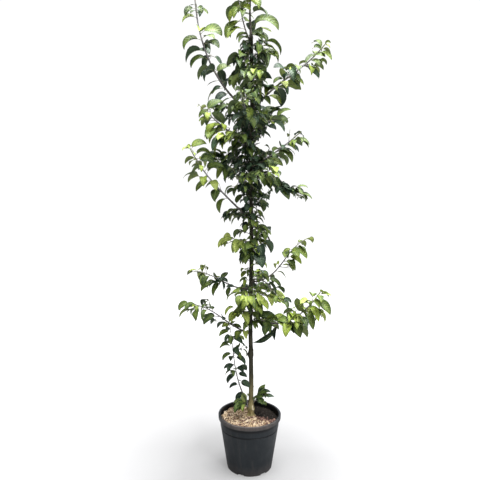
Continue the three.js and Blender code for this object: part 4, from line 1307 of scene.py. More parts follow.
# %% Single leaves set one by one
# The tints of these leaves are partly painted light and shade, as in the rest of the crown.
SINGLE_LEAVES = {
    "low_front": [
        (0.1, 205, 24, 88, 8, 70, 1.2), (0.16, 335, 20, 90, -8, 72, 1.2), (0.3, 240, 26, 96, 10, 72, 1.9),
        (0.42, 300, 18, 90, -6, 74, 1.4),
    ],
    "hanging_front": [
        (0.6, 236, 0, 88, 6, 88, 0.9), (0.8, 300, 0, 84, -6, 106, 0.0),
    ],
    "lime_left": [
        (0.16, 300, 16, 86, -12, 100, 3.0), (0.34, 246, 14, 88, 6, 92, 2.6),
        (0.58, 262, 6, 84, -8, 90, 3.0), (0.74, 206, 44, 112, 8, 66, 2.8),
        (0.3, 278, -10, 66, 6, 84, 2.2),
    ],
    "leader": [
        (0.11, 352, 66, 140, 10, 150, 0.9), (0.02, 196, 40, 110, 0, 76, 1.0),
        (0.03, 345, 30, 100, 0, 86, 0.5), (0.07, 345, 40, 84, -16, 96, 2.0),
        (0.05, 305, 35, 95, 15, 88, 0.9),
    ],
    "leader_left": [
        (0.06, 232, 30, 100, -10, 84, 1.2), (0.46, 20, 30, 90, -10, 62, 1.2),
        (0.12, 18, 40, 110, 10, 78, 0.8), (0.36, 192, -2, 88, 6, 112, 2.3),
        (0.4, 200, -30, 56, 0, 100, 1.7), (0.6, 196, -30, 60, 0, 88, 2.0),
    ],
    "crest_right": [
        (0.5, 340, 36, 100, 6, 86, 1.8), (0.8, 350, 24, 96, -4, 84, 2.3),
    ],
    "crest_left": [
        (0.3, 196, 30, 110, 4, 78, 0.2),
    ],
    "top_left": [
        (0.7, 190, 30, 98, 6, 74, 2.9), (0.73, 352, 50, 118, 4, 60, 0.7),
        (0.78, 188, 4, 30, -20, 32, 0.4), (0.53, 330, 40, 110, 6, 94, 0.9),
        (0.33, 20, 80, 96, 0, 86, 1.9), (0.27, 8, 40, 100, -10, 74, 0.3),
        (0.6, 350, 52, 118, 14, 112, 1.9), (0.57, 318, 34, 88, -12, 88, 1.1),
        (0.56, 194, 30, 118, 8, 104, 0.8), (0.44, 190, 26, 108, 10, 98, 0.6),
        (0.35, 190, 24, 90, 6, 70, 0.3), (0.29, 184, 4, 56, -20, 66, 0.2), (0.25, 196, 4, 80, 0, 66, 0.3),
        (0.19, 214, 6, 82, 12, 86, 0.4), (0.16, 188, -8, 62, -14, 80, 0.8),
    ],
    "top_right": [
        (0.9, 345, 0, 66, 4, 68, 1.6), (0.8, 340, 60, 112, 0, 70, 1.3), (0.5, 335, 4, 54, 0, 84, 1.9),
        (0.7, 345, -4, 70, -4, 90, 0.4), (0.62, 340, -14, 64, 10, 74, 0.6),
        (0.46, 250, 76, 60, 0, 64, 3.0), (0.52, 320, -10, 64, 0, 76, 1.4),
        (0.48, 200, 30, 100, 10, 62, 0.8), (0.16, 300, 22, 84, 10, 84, 0.7),
        (0.22, 340, 10, 72, -14, 82, 1.6), (0.3, 250, 18, 86, 10, 84, 1.6),
        (0.38, 350, -5, 66, 16, 80, 1.6), (0.42, 290, 20, 90, -18, 78, 2.6),
        (0.88, 200, -20, 40, 0, 68, 1.2),
    ],
    "high_right": [
        (0.84, 346, -6, 56, -20, 76, 1.3), (0.78, 345, 16, 60, -20, 84, 1.0),
        (0.66, 335, 6, 64, -24, 72, 0.4), (0.5, 350, 24, 70, -14, 66, 0.2),
        (0.25, 340, 14, 60, 0, 92, 1.9), (0.18, 320, 20, 70, 0, 84, 1.3),
        (0.28, 330, -30, 50, 0, 80, 1.8),
    ],
    "drooping_right": [
        (0.92, 350, 22, 60, -12, 72, 1.2), (0.86, 345, 14, 62, -18, 74, 1.2),
        (0.74, 340, 28, 80, -10, 66, 1.0), (0.5, 320, -20, 50, 4, 88, 0.6),
        (0.12, 320, 30, 90, 0, 88, 0.6), (0.3, 280, 10, 80, 8, 84, 1.1), (0.22, 200, 10, 80, 0, 80, 0.4),
        (0.2, 330, 10, 80, 0, 90, 0.3), (0.35, 300, 30, 100, 10, 84, 0.8),
    ],
    "mid_right": [
        (0.2, 345, -2, 56, -22, 84, 1.2), (0.46, 356, 14, 46, -34, 56, 1.7),
        (0.66, 300, 40, 96, 4, 82, 2.1), (0.72, 330, 10, 76, 0, 84, 1.7), (0.9, 342, 6, 56, -10, 84, 1.9),
        (0.72, 200, 10, 70, 0, 54, 1.6), (0.66, 348, 50, 100, 0, 66, 1.9), (0.6, 340, 10, 70, 0, 78, 2.1),
    ],
    "upper_right": [
        (0.25, 20, 82, 72, 0, 88, 0.7), (0.45, 330, 84, 76, 0, 86, 0.4), (0.15, 300, 60, 100, 5, 88, 1.6),
        (0.62, 350, 78, 84, 0, 84, 1.2), (0.35, 350, 74, 90, 0, 92, 1.0),
        (0.45, 350, 0, 72, -10, 84, 0.2), (0.65, 352, -4, 70, -10, 76, 0.2),
        (0.8, 355, -4, 66, -10, 66, 0.2),
    ],
    "upper_left": [
        (0.8, 20, 70, 90, 0, 92, 0.8), (0.72, 10, 60, 96, 4, 94, 0.5), (0.97, 14, 78, 112, 10, 82, 2.2),
        (0.9, 15, 62, 116, -10, 84, 1.4), (0.84, 340, 50, 112, 14, 86, 0.8),
        (0.62, 300, -10, 60, 0, 74, 3.0), (0.52, 260, -30, 44, 8, 78, 1.2),
        (0.38, 20, 70, 80, 0, 58, 1.0), (0.4, 330, 88, 70, 0, 52, 0.6), (0.24, 30, 76, 50, 0, 62, 0.9),
    ],
    "core_left": [
        (0.9, 190, 60, 110, 0, 88, 0.5), (0.8, 205, 55, 112, 12, 80, 0.7),
        (0.95, 238, 40, 104, -14, 82, 0.4), (0.98, 175, 48, 110, 8, 76, 1.3),
        (0.6, 190, 50, 90, 0, 88, 0.2), (0.85, 240, 60, 90, 0, 84, 0.4), (0.7, 215, 70, 70, 0, 84, 0.7),
        (0.75, 200, -75, -10, 0, 88, 1.9), (0.6, 230, -70, 10, 0, 84, 1.2),
    ],
    "low_right": [
        (0.22, 330, 58, 104, 12, 78, 2.2), (0.3, 20, 62, 110, -12, 84, 2.2),
        (0.36, 290, 50, 96, 16, 80, 1.6), (0.44, 345, 66, 118, -10, 88, 2.1),
        (0.52, 310, 55, 110, 14, 88, 2.6), (0.6, 240, 44, 100, -16, 84, 2.4),
        (0.68, 355, 40, 100, 20, 92, 2.3), (0.78, 300, 4, 74, -14, 94, 2.2),
        (0.86, 350, -2, 70, 16, 96, 2.9), (0.9, 325, -8, 62, 12, 98, 2.2),
        (0.96, 352, 20, 50, -20, 58, 2.9), (0.33, 310, 64, 106, -8, 100, 2.0),
        (0.37, 192, -76, 10, -8, 80, 0.2), (0.64, 250, 86, 40, 10, 92, 2.1),
        (0.74, 300, -30, 50, 10, 98, 2.2), (0.84, 350, 20, 80, 10, 108, 2.3),
        (0.92, 352, 12, 76, 6, 104, 3.0), (0.5, 330, -20, 60, 10, 92, 0.4),
        (0.56, 300, -30, 50, 10, 88, 0.6), (0.6, 345, -30, 30, -24, 72, 0.4),
        (0.36, 184, -80, -84, -22, 150, 0.0), (0.18, 315, -10, 62, 10, 74, 1.0),
        (0.26, 250, -14, 60, -12, 70, 0.6),
    ],
    "lime_low_left": [
        (0.5, 280, 10, 84, 0, 88, 2.9), (0.8, 300, 20, 90, 0, 84, 3.0), (0.9, 230, 30, 100, 0, 80, 2.4),
        (0.1, 190, 40, 110, 0, 88, 2.6),
    ],
    "lime_low_right": [
        (0.9, 352, 34, 84, -4, 96, 2.9), (0.8, 340, 10, 60, -12, 84, 1.8), (0.98, 355, 6, 60, 0, 88, 2.6),
    ],
    "hanging_low": [
        (0.75, 5, 62, 84, -8, 84, 1.4), (0.5, 340, 70, 80, 10, 80, 0.7), (0.6, 310, 20, 88, 12, 78, 0.8),
        (0.9, 350, 26, 92, -10, 76, 0.5), (0.4, 270, 30, 96, 10, 72, 1.4),
    ],
    "low_left": [
        (0.08, 275, 32, 96, 10, 70, 2.6), (0.14, 250, 20, 84, -12, 74, 2.2),
    ],
    "sucker": [
        (0.32, 340, 34, 100, 4, 60, 0.0), (0.3, 195, 22, 80, -10, 52, 0.2),
        (0.42, 352, 34, 92, 10, 53, 0.1), (0.5, 325, 30, 90, -12, 52, 0.2),
        (0.52, 188, 30, 84, 14, 57, 0.3), (0.62, 345, 24, 104, -6, 67, 0.0),
        (0.66, 192, 24, 112, 12, 65, 0.7), (0.74, 300, 20, 90, 12, 60, 0.2),
        (0.78, 200, 36, 100, -14, 64, 0.5), (0.84, 335, 30, 96, 12, 64, 0.3),
        (0.88, 270, 10, 80, -8, 62, 0.7), (0.92, 205, 30, 92, 10, 64, 1.4),
        (0.96, 20, 42, 100, -10, 62, 0.8),
    ],
    "foot_left": [
        (0.95, 262, 88, 16, 0, 64, 3.0), (0.8, 225, 84, 30, 10, 72, 0.6), (0.9, 195, 82, 135, 4, 66, 1.2),
        (0.95, 222, 40, 120, 0, 72, 1.1), (0.95, 262, 50, 130, 10, 56, 2.3),
        (0.9, 215, 62, 125, 8, 58, 0.6), (0.6, 165, 60, 70, -10, 54, 0.7),
    ],
    "foot_right": [
        (0.3, 300, 76, 40, -10, 64, 0.5), (0.6, 345, 72, 50, 12, 60, 1.0),
        (0.75, 15, 74, 44, 10, 56, 0.4), (0.55, 318, 22, 60, -8, 60, 1.1),
        (0.45, 330, 74, 84, 4, 58, 0.6), (0.9, 8, 66, 96, 0, 60, 0.3), (0.6, 300, 30, 70, 8, 56, 0.7),
        (0.95, 350, 10, 20, -26, 66, 0.0), (0.8, 30, 80, 50, 0, 66, 1.2), (0.85, 340, 60, 50, 0, 54, 0.6),
    ],
    "high_left": [
        (0.84, 20, 84, 94, 0, 92, 1.2), (0.7, 10, 86, 80, 0, 90, 1.2),
    ],
    "core_high_left": [
        (0.6, 215, 20, 80, 0, 88, 0.3), (0.8, 200, 10, 70, 0, 88, 0.5), (0.98, 210, -20, 60, 0, 88, 0.4),
        (0.9, 190, -4, 50, 0, 76, 0.6),
    ],
    "mid_left": [
        (0.53, 30, 50, 30, 0, 52, 0.5), (0.5, 200, -30, 60, 0, 82, 1.3), (0.32, 210, -40, 50, 0, 54, 0.6),
        (0.25, 195, 30, 60, 0, 46, 0.3), (0.8, 250, -20, 66, 0, 68, 2.3),
    ],
}

# %% Place the single leaves
FACING = 34
SINGLE_TWIST = 0.2
for name, rows in SINGLE_LEAVES.items():
    owner = [shoot["name"] for shoot in SHOOTS].index(name)
    share, heading, slope, droop, roll, length, tint = np.array(rows).T
    keep(
        root=paths[owner].point(share),
        heading=np.radians(heading),
        slope=np.radians(slope),
        droop=np.radians(droop),
        roll=np.radians(FACING + roll) * np.cos(np.radians(heading)),
        length=length,
        twist=np.full(len(rows), SINGLE_TWIST),
        tone=spread(owner, length, TONE),
        tint=tint,
    )

leaves = {field: np.concatenate(grown[field]) for field in FIELDS}
print(len(leaves["length"]), "leaves wanted")

# %% [markdown]
# ## Where the crown stays open
#
# Much of a crown's look is the sky that shows between its leaves. The boxes below were chosen on
# the picture, in its own pixels: between the boughs, beside the bare trunk, and over the pot. A
# leaf that would stand mostly inside one is left out, and so is a side twig that is left with no
# leaves there. `seen_at` is the camera's own arithmetic, so a point in millimetres becomes a
# place in the picture.

# %% Open sky between the leaves
PICTURE_SIZE = 480
MOST_IN_SKY = 0.45
FIRST_SEEN = 2
SKY_GAPS = [
    (207, 0, 230, 23), (219, 23, 227, 42), (219, 42, 233, 62), (160, 0, 189, 13),
    (160, 23, 196, 32), (257, 0, 280, 9), (194, 0, 207, 9), (213, 182, 232, 188), (276, 0, 350, 38),
    (279, 30, 293, 57), (302, 41, 315, 49), (323, 62, 350, 110), (287, 88, 350, 132),
    (160, 51, 188, 134), (190, 88, 205, 103), (160, 134, 181, 210), (207, 168, 213, 180),
    (181, 199, 205, 226), (258, 136, 268, 153), (267, 133, 280, 141), (307, 132, 350, 182),
    (288, 161, 304, 180), (279, 201, 350, 229), (270, 215, 281, 250), (160, 215, 214, 264),
    (314, 232, 350, 290), (304, 255, 314, 292), (284, 268, 308, 285), (212, 258, 240, 269),
    (160, 275, 200, 296), (208, 299, 231, 305), (160, 321, 212, 420), (255, 346, 350, 381),
    (314, 322, 350, 395), (258, 333, 267, 339), (200, 330, 218, 352), (195, 362, 224, 371),
    (282, 210, 300, 229), (330, 40, 350, 110), (190, 103, 198, 136), (302, 71, 313, 90),
    (286, 86, 304, 96), (230, 178, 241, 190), (286, 238, 299, 249), (264, 249, 284, 263),
    (308, 182, 350, 201), (222, 396, 232, 416), (266, 399, 282, 414), (254, 407, 268, 418),
]


def seen_at(points):
    """Where points in millimetres fall in the picture: turned by the camera's yaw and pitch, then
    divided by their depth. The first number runs right and the second one down, in pixels."""
    away = points * MM - np.array([0, -CAMERA_DISTANCE, CAMERA_HEIGHT])
    across = math.cos(CAMERA_YAW) * away[..., 0] + math.sin(CAMERA_YAW) * away[..., 1]
    ahead = math.cos(CAMERA_YAW) * away[..., 1] - math.sin(CAMERA_YAW) * away[..., 0]
    depth = ahead * math.cos(CAMERA_PITCH) - away[..., 2] * math.sin(CAMERA_PITCH)
    rise = ahead * math.sin(CAMERA_PITCH) + away[..., 2] * math.cos(CAMERA_PITCH)
    focal = LENS_MM / SENSOR_MM * PICTURE_SIZE
    return PICTURE_SIZE / 2 + focal * across / depth, PICTURE_SIZE / 2 - focal * rise / depth


def in_sky(centre):
    """The share of each leaf's midrib that the camera would see in a gap of the crown."""
    right, down = seen_at(centre)
    inside = np.zeros(right.shape, bool)
    for left_edge, top_edge, right_edge, low_edge in SKY_GAPS:
        within = (right > left_edge) & (right < right_edge) & (down > top_edge) & (down < low_edge)
        inside = inside | within
    return inside[:, FIRST_SEEN:].mean(axis=1)


# %% The arc of a leaf
STALK = 0.2


def arc(selected, t):
    """Centre and frame of each leaf at each share t of its length. The slope falls evenly, so
    the midrib is an arc of a circle: forward (sin s0 - sin s)/droop, up (cos s - cos s0)/droop."""
    slope, droop, length = (selected[key][:, None] for key in ("slope", "droop", "length"))
    ahead = round_axis(1.0, selected["heading"], 0.0)
    here = slope - droop * t
    forward = length * (np.sin(slope) - np.sin(here)) / droop
    rise = length * (np.cos(here) - np.cos(slope)) / droop
    centre = selected["root"][:, None] + ahead[:, None] * forward[..., None] + UP * rise[..., None]
    left = np.cross(UP, ahead)[:, None]
    normal = UP * np.cos(here)[..., None] - ahead[:, None] * np.sin(here)[..., None]
    roll = (selected["roll"][:, None] + selected["twist"][:, None] * t)[..., None]
    side = left * np.cos(roll) + normal * np.sin(roll)
    face = normal * np.cos(roll) - left * np.sin(roll)
    return centre, side, face


# %% Leave out what would cross the trunk or leave the crown
OUTSIDE_MARGIN = 6
ARC_SAMPLES = 9
BLADE_SAMPLE = 3
TRUNK_GAP = 3
SOIL_GAP = 6
GRAFT_VIEW = 27
GRAFT_VIEW_TOP = 300


def kept_leaves():
    """Leaves inside the solids' box and clear of the trunk, the soil, the graft and the sky."""
    centre, _, _ = arc(leaves, np.linspace(0, 1, ARC_SAMPLES)[None])
    low = np.array(SOLID_BOX[0]) / MM - OUTSIDE_MARGIN
    high = np.array(SOLID_BOX[1]) / MM + OUTSIDE_MARGIN
    inside = ((centre > low) & (centre < high)).all(axis=(1, 2))
    height = centre[..., 2]
    axis = trunk_centre(np.clip(height, TRUNK_FOOT, TRUNK_TOP))
    away = np.linalg.norm(centre[..., :2] - axis[..., :2], axis=-1)
    beside_trunk = (height < TRUNK_TOP) & (height > TRUNK_FOOT)
    hits = beside_trunk & (away < trunk_radius(height) + TRUNK_GAP)
    soil = height < SOIL_LEVEL / MM + SOIL_GAP
    tip = centre[:, -1] - trunk_centre(TRUNK_FOOT)
    in_front = (tip[:, 1] < 0) & (np.abs(tip[:, 0]) < GRAFT_VIEW)
    veils_graft = in_front & (height[:, -1] < GRAFT_VIEW_TOP)
    clear = ~hits[:, BLADE_SAMPLE:].any(axis=1) & ~soil.any(axis=1) & ~veils_graft
    sky = in_sky(centre) > MOST_IN_SKY
    print(int((sky & inside & clear).sum()), "leaves left out for the sky")
    return {key: value[inside & clear & ~sky] for key, value in leaves.items()}


leaves = kept_leaves()
print(len(leaves["length"]), "leaves kept")

# %% Leave out bare side twigs in the sky
BARE_SHARES = np.linspace(0.1, 1, 10)
ON_TWIG = 1.5


def carries_leaves(twig):
    """True where a kept leaf starts within a small distance of the twig's own points."""
    away = leaves["root"][:, None] - twig.point(BARE_SHARES)[None]
    return bool((np.linalg.norm(away, axis=2).min(axis=1) < ON_TWIG).any())


def open_twigs():
    """The side twigs that stand outside the sky, or carry leaves in it."""
    lines = np.stack([twig.point(BARE_SHARES) for twig, _ in twigs])
    sky = in_sky(lines) > MOST_IN_SKY
    return [row for row, high in zip(twigs, sky) if not high or carries_leaves(row[0])]


count = len(twigs)
twigs = open_twigs()
print(count - len(twigs), "bare side twigs left out for the sky")

# %% [markdown]
# ## Tubes for boughs, twigs and stalks
#
# A limb is a ring of points carried along a path. Many limbs with the same number of rings are
# one array: limb by ring by angle. Each path lies in an upright plane, so the direction across
# that plane is a steady reference for the ring, and the tube never twists.


# %% Tubes along many paths at once
def tubes(centres, radii, side, sides, values=None):
    """Ring point = centre + radius (side cos a + across sin a); across = side x tangent.
    Centres are (tube, ring, 3) and radii (tube, ring). A point at each end closes the tube."""
    tangent = np.gradient(centres, axis=1)
    tangent /= np.linalg.norm(tangent, axis=2, keepdims=True)
    across = np.cross(side[:, None, :], tangent)
    angle = (2 * math.pi * np.arange(sides) / sides)[:, None]
    around = side[:, None, None, :] * np.cos(angle) + across[:, :, None, :] * np.sin(angle)
    rings = centres[:, :, None, :] + radii[:, :, None, None] * around
    count, ring_count = radii.shape
    ends = np.stack([centres[:, 0], centres[:, -1]], axis=1)
    points = np.concatenate([rings.reshape(count, -1, 3), ends], axis=1)
    faces = [copies_of(part, count, points.shape[1]) for part in closed_faces(ring_count, sides)]
    held = {}
    for key, value in (values or {}).items():
        value = np.broadcast_to(value, radii.shape)
        on_rings = np.repeat(value, sides, axis=1)
        held[key] = np.concatenate([on_rings, value[:, :1], value[:, -1:]], axis=1).ravel()
    return Shape(points * MM, faces, values=held)


# %% Boughs and stems
BOUGH_RINGS = 60
BOUGH_SIDES = 18
STEM_RINGS = 120
STEM_SIDES = 10
COLLAR = 1.7
COLLAR_FADE = 7.0
LEAST_BUD_SPACING = 12
BUD_SWELL = 0.22
BUD_LENGTH = 2.2
RIPPLE = 0.04
RIPPLE_PITCH = 0.9
WAVER = 0.5
WAVER_LENGTH = 17
STRAIGHT_LENGTH = 40
END_LENGTH = 5
LEAST_END = 0.25
AGE_SLOPE = 1.15
AGE_START = 0.1


def limb_shape(shoot, path, start, end, rings, sides):
    """A stretch of a shoot, thicker where it joins the trunk, with small swellings at its buds."""
    share = np.linspace(start, end, rings)
    along = share * path.length
    radius = path.radius * (1 - (1 - TIP_RADIUS_SHARE) * share)
    joint = np.exp(-((along - trunk_radius(shoot["height"])) / COLLAR_FADE)) if start == 0 else 0
    radius = radius * (1 + (COLLAR - 1) * np.clip(joint, 0, 1))
    leafy_length = path.length * (1 - shoot["bare"])
    bud_spacing = max(leafy_length / (shoot["leaves"] + LAST_GAP), LEAST_BUD_SPACING)
    from_bud = ((along / bud_spacing) % 1 - 0.5) * bud_spacing
    radius = radius * (1 + BUD_SWELL * hill(from_bud, BUD_LENGTH))
    radius = radius * (1 + RIPPLE * np.sin(along * RIPPLE_PITCH + shoot["index"]))
    radius = radius * np.clip((path.length - along) / END_LENGTH, LEAST_END, 1)
    waver = WAVER * np.sin(along / WAVER_LENGTH + shoot["index"])
    waver = waver * np.clip(along / STRAIGHT_LENGTH, 0, 1)
    centre = path.point(share) + path.side * waver[:, None]
    age = np.clip(share * AGE_SLOPE - AGE_START, 0, 1)[None]
    return tubes(centre[None], radius[None], path.side[None], sides, {"age": age})


boughs = []
stems = []
for shoot, path in zip(SHOOTS, paths):
    if shoot["bare"] > 0:
        boughs.append(limb_shape(shoot, path, 0, shoot["bare"], BOUGH_RINGS, BOUGH_SIDES))
    stems.append(limb_shape(shoot, path, shoot["bare"], 1, STEM_RINGS, STEM_SIDES))


# %% Side twigs and buds
TWIG_SIDES = 7
TWIG_TAPER = 0.45
TWIG_SWELLS = np.array([0.3, 0.15, 0.0, 0.0, 0.1, 0.5, -0.4])
TWIG_AGE = 0.3


def twig_shape():
    """Tapering tubes with a collar at the stem and a bud at the end, older towards the tip."""
    share = np.linspace(0, 1, len(TWIG_SWELLS))
    centres = np.stack([twig.point(share) for twig, _ in twigs])
    radius = np.array([twig.radius for twig, _ in twigs])[:, None]
    radii = radius * (1 - TWIG_TAPER * share) * (1 + TWIG_SWELLS)
    side = np.stack([twig.side for twig, _ in twigs])
    age = np.array([age for _, age in twigs])[:, None] + TWIG_AGE * share
    return tubes(centres, radii, side, TWIG_SIDES, {"age": np.clip(age, 0, 1)})


# %% The finish of limbs and twigs
LIMB_BARK = ((0.16, 0.14, 0.12), (0.055, 0.046, 0.043))
GREY_BARK = (0.36, 0.34, 0.37, 1)
GREEN_BARK = (0.20, 0.22, 0.10, 1)
TWIG_SPOT = (0.45, 0.40, 0.33, 1)
LIMB_WEATHER = (60, 700)
GREY_AGES = (0.15, 0.7)
GREEN_AGES = (0.72, 1.0)
SPOTS = (320, 2)
SPOT_RANGE = (0.66, 0.70)
SPOT_SHARE = 0.5
LIMB_BUMP = (0.5 * MM, 0.6)


def twig_bark():
    """Bark of limbs and twigs: brown at the foot, grey with a violet cast, then green at the tip.
    The age that the mesh holds runs from nought at the trunk to one at the tip."""
    material, wiring, shader = new_material("twig bark", roughness=0.62, specular=0.4)
    vector = wiring.object_place()
    base = weathered(wiring, *LIMB_BARK, vector, *LIMB_WEATHER)
    age = wiring.attribute("age")
    colour = wiring.mix(wiring.ranged(age, *GREY_AGES), base["Colour"], GREY_BARK)
    colour = wiring.mix(wiring.ranged(age, *GREEN_AGES), colour, GREEN_BARK)
    spots = wiring.ranged(wiring.noise(vector, *SPOTS), *SPOT_RANGE)
    colour = wiring.mix(wiring.times(spots, SPOT_SHARE), colour, TWIG_SPOT)
    coat(wiring, shader, colour, base["Relief"], *LIMB_BUMP)
    return material


limb_bark = twig_bark()
bough_piece = build("boughs", joined(boughs), limb_bark)
dress(bough_piece, BOUGH_NODES)
twig_piece = build("twigs", joined(stems + [twig_shape()]), limb_bark)
dress(twig_piece, LEAF_NODES)

# %% [markdown]
# ## Leaves
#
# A crabapple leaf is oval with a drawn-out tip and a saw-toothed edge. It folds a little along
# its midrib, and it arches over so that the tip hangs. All of that is one grid of 64 faces for
# each leaf: stations along the blade by five columns across it. The arc that carries the blade is
# the same one that the solids use.

# %% The blade of each leaf
LEAF_WIDTH = 0.47
WIDTH_RANGE = 0.14
LEAST_HALF = 0.5
BASE_POWER = 0.62
TIP_POWER = 1.0
STATIONS = 17
STATION_POWER = 1.06
ACROSS = np.array([-1.0, -0.52, 0.0, 0.52, 1.0])
FOLD = math.radians(31)
FOLD_RANGE = math.radians(14)
EDGE_CURL = 0.2
EDGE_WAVE = 0.06
TOOTH = 0.018
WAVES_A_BLADE = 9
EDGE_LAG = 1.4
WIDTH_TURN = 23
FOLD_TURN = 5


def outline(b):
    """Half the width along the blade, from 0 to 1: b^base (1-b)^tip, widest before the middle."""
    widest = BASE_POWER / (BASE_POWER + TIP_POWER)
    most = widest**BASE_POWER * (1 - widest) ** TIP_POWER
    return np.clip(b, 0, 1) ** BASE_POWER * np.clip(1 - b, 0, 1) ** TIP_POWER / most


def blade_shape(chosen):
    """Point = midrib + side v w cos(fold) + face (|v| w sin(fold) - curl v^2 w + waves).
    The leaf's own tone also varies its width, its fold and the phase of its waves."""
    b = np.linspace(0, 1, STATIONS) ** STATION_POWER
    centre, side, face = arc(chosen, (STALK + (1 - STALK) * b)[None])
    slender = LEAF_WIDTH * (1 + WIDTH_RANGE * np.sin(chosen["tone"] * WIDTH_TURN))
    half = (chosen["length"] * slender / 2)[:, None] * outline(b)[None] + LEAST_HALF
    width = half[..., None] * np.ones(len(ACROSS))
    tooth = TOOTH * np.where(np.arange(STATIONS) % 2, 1, -1)
    width[..., [0, -1]] *= 1 + tooth[:, None]
    phase = chosen["tone"][:, None, None] * WAVES_A_BLADE
    wave = EDGE_WAVE * np.sin(WAVES_A_BLADE * b[:, None] + phase + EDGE_LAG * np.sign(ACROSS))
    fold = FOLD + FOLD_RANGE * np.sin(phase * FOLD_TURN)
    lateral = ACROSS * width * np.cos(fold)
    raised = width * (np.abs(ACROSS) * np.sin(fold) + ACROSS**2 * (wave - EDGE_CURL))
    points = centre[:, :, None] + side[:, :, None] * lateral[..., None]
    points = points + face[:, :, None] * raised[..., None]
    count = len(chosen["length"])
    each = STATIONS * len(ACROSS)
    faces = copies_of(grid_faces(STATIONS, len(ACROSS), False), count, each)
    u, v = np.broadcast_arrays((ACROSS + 1) / 2, b[:, None])
    uv = np.tile(np.stack([u, v], axis=-1).reshape(-1, 2), (count, 1))
    return Shape(points * MM, [faces], uv, {"tone": np.repeat(chosen["tone"], each)})


# %% The stalks and midribs
STALK_SHARES = np.array([0.0, 0.06, 0.13, STALK, 0.36, 0.56, 0.78])
STALK_WIDTHS = np.array([1.5, 1.0, 0.9, 0.95, 0.62, 0.42, 0.2])
STALK_SIDES = 5
BELOW_BLADE = 0.35
LEAST_STALK = 0.5
STALK_GROWTH = 180


def stalk_shape(chosen):
    """A thin tube along the leaf's arc: the stalk, then the midrib that stands out below."""
    centre, _, face = arc(chosen, STALK_SHARES[None])
    centre = centre - face * np.where(STALK_SHARES < STALK, 0.0, BELOW_BLADE)[:, None]
    radii = STALK_WIDTHS * (LEAST_STALK + chosen["length"][:, None] / STALK_GROWTH)
    side = np.cross(UP, round_axis(1.0, chosen["heading"], 0.0))
    return tubes(centre, radii, side, STALK_SIDES)


# %% [markdown]
# ## The colour of leaves
#
# The crown runs from dark blue-green near the trunk to lime at the ends of young shoots. The dark
# tints are partly painted shade inside the crown, and the light ones partly painted light on its
# outer leaves. Each spray has one tint, dealt out by where it grows, from which its leaves stray
# a little, and each tint is a piece with its own plain base colour. The group adds only what
# every leaf has: a pale midrib, faint side veins, painted shade beside them, a darker edge, a
# tone of its own and a softly glossy skin. The underside is paler and greyer.


# %% The leaf skin group
MIDRIB_EDGE = (0.045, 0.015)
SIDE_VEINS = 8.0
VEIN_SLANT = 3.2
SIDE_VEIN_EDGE = (0.08, 0.02, 0.0, 0.45)
VEIN_SHARE = 0.6
TONE_SHADE = (-1, 1, -0.1, 0.6)
PATCH_SHADE = (0.38, 0.66, -0.12, 0.3)
VEIN_VALLEY_PAINTED_SHADE = (0.32, 0.1, 0.0, 0.38)
EDGE_SHADE = (0.26, 0.5, 0.0, 0.6)
LEAF_ROUGHNESS = (0.3, 0.7, 0.42, 0.6)
LEAF_PATCHES = (48, 3)
VEIN_RELIEF = 1.6


def make_leaf_skin():
    """Veins from the leaf's own uv: |u - half| is near 0 on the midrib, and side veins repeat
    along the blade and slant forward with the distance from the midrib. The skin beside the veins,
    where the relief sinks, gets painted shade."""
    inputs = [("Blade", COLOUR), ("Vein", COLOUR), ("Deep", COLOUR)]
    outputs = [("Colour", COLOUR), ("Gloss", VALUE), ("Relief", VALUE)]
    tree, wiring, given, result = new_group("leaf skin", inputs, outputs)
    surface = wiring.add("ShaderNodeUVMap", uv_map="surface").outputs[0]
    place = wiring.add("ShaderNodeSeparateXYZ", {"Vector": surface}).outputs
    off = wiring.math("ABSOLUTE", wiring.math("SUBTRACT", place["X"], 0.5))
    midrib = wiring.ranged(off, *MIDRIB_EDGE)
    slant = wiring.times(off, VEIN_SLANT)
    pitch = wiring.math("SUBTRACT", wiring.times(place["Y"], SIDE_VEINS), slant)
    ripple = wiring.math("ABSOLUTE", wiring.math("SUBTRACT", wiring.math("FRACT", pitch), 0.5))
    vein = wiring.math("MAXIMUM", midrib, wiring.ranged(ripple, *SIDE_VEIN_EDGE))
    patch = wiring.noise(wiring.object_place(), *LEAF_PATCHES)
    # The tone, the patches, painted shade beside the veins and a darker edge draw the skin to the deep
    # colour.
    shade = wiring.held_sum(
        wiring.ranged(wiring.attribute("tone"), *TONE_SHADE),
        wiring.ranged(patch, *PATCH_SHADE),
        wiring.ranged(ripple, *VEIN_VALLEY_PAINTED_SHADE),
        wiring.ranged(off, *EDGE_SHADE),
    )
    skin = wiring.mix(shade, given.outputs["Blade"], given.outputs["Deep"])
    colour = wiring.mix(wiring.times(vein, VEIN_SHARE), skin, given.outputs["Vein"])
    wiring.set(result.inputs["Colour"], colour)
    wiring.set(result.inputs["Gloss"], wiring.ranged(patch, *LEAF_ROUGHNESS))
    relief = wiring.math("SUBTRACT", wiring.times(ripple, VEIN_RELIEF), midrib)
    wiring.set(result.inputs["Relief"], relief)
    return tree


LEAF_SKIN = make_leaf_skin()

# %% The material of a leaf
UNDERSIDE_SHARE = 0.5
LEAF_BUMP = (0.9 * MM, 0.8)


def leaf_material(name, blade, deep, vein, underside):
    """The leaf skin in one tint, with its underside half way to a paler, greyer colour."""
    material, wiring, shader = new_material(name, roughness=0.5, specular=0.34)
    inputs = {"Blade": (*blade, 1), "Deep": (*deep, 1), "Vein": (*vein, 1)}
    skin = wiring.add("ShaderNodeGroup", inputs, node_tree=LEAF_SKIN).outputs
    below = wiring.add("ShaderNodeNewGeometry").outputs["Backfacing"]
    colour = wiring.mix(wiring.times(below, UNDERSIDE_SHARE), skin["Colour"], (*underside, 1))
    wiring.set(shader.inputs["Roughness"], skin["Gloss"])
    coat(wiring, shader, colour, skin["Relief"], *LEAF_BUMP)
    return material


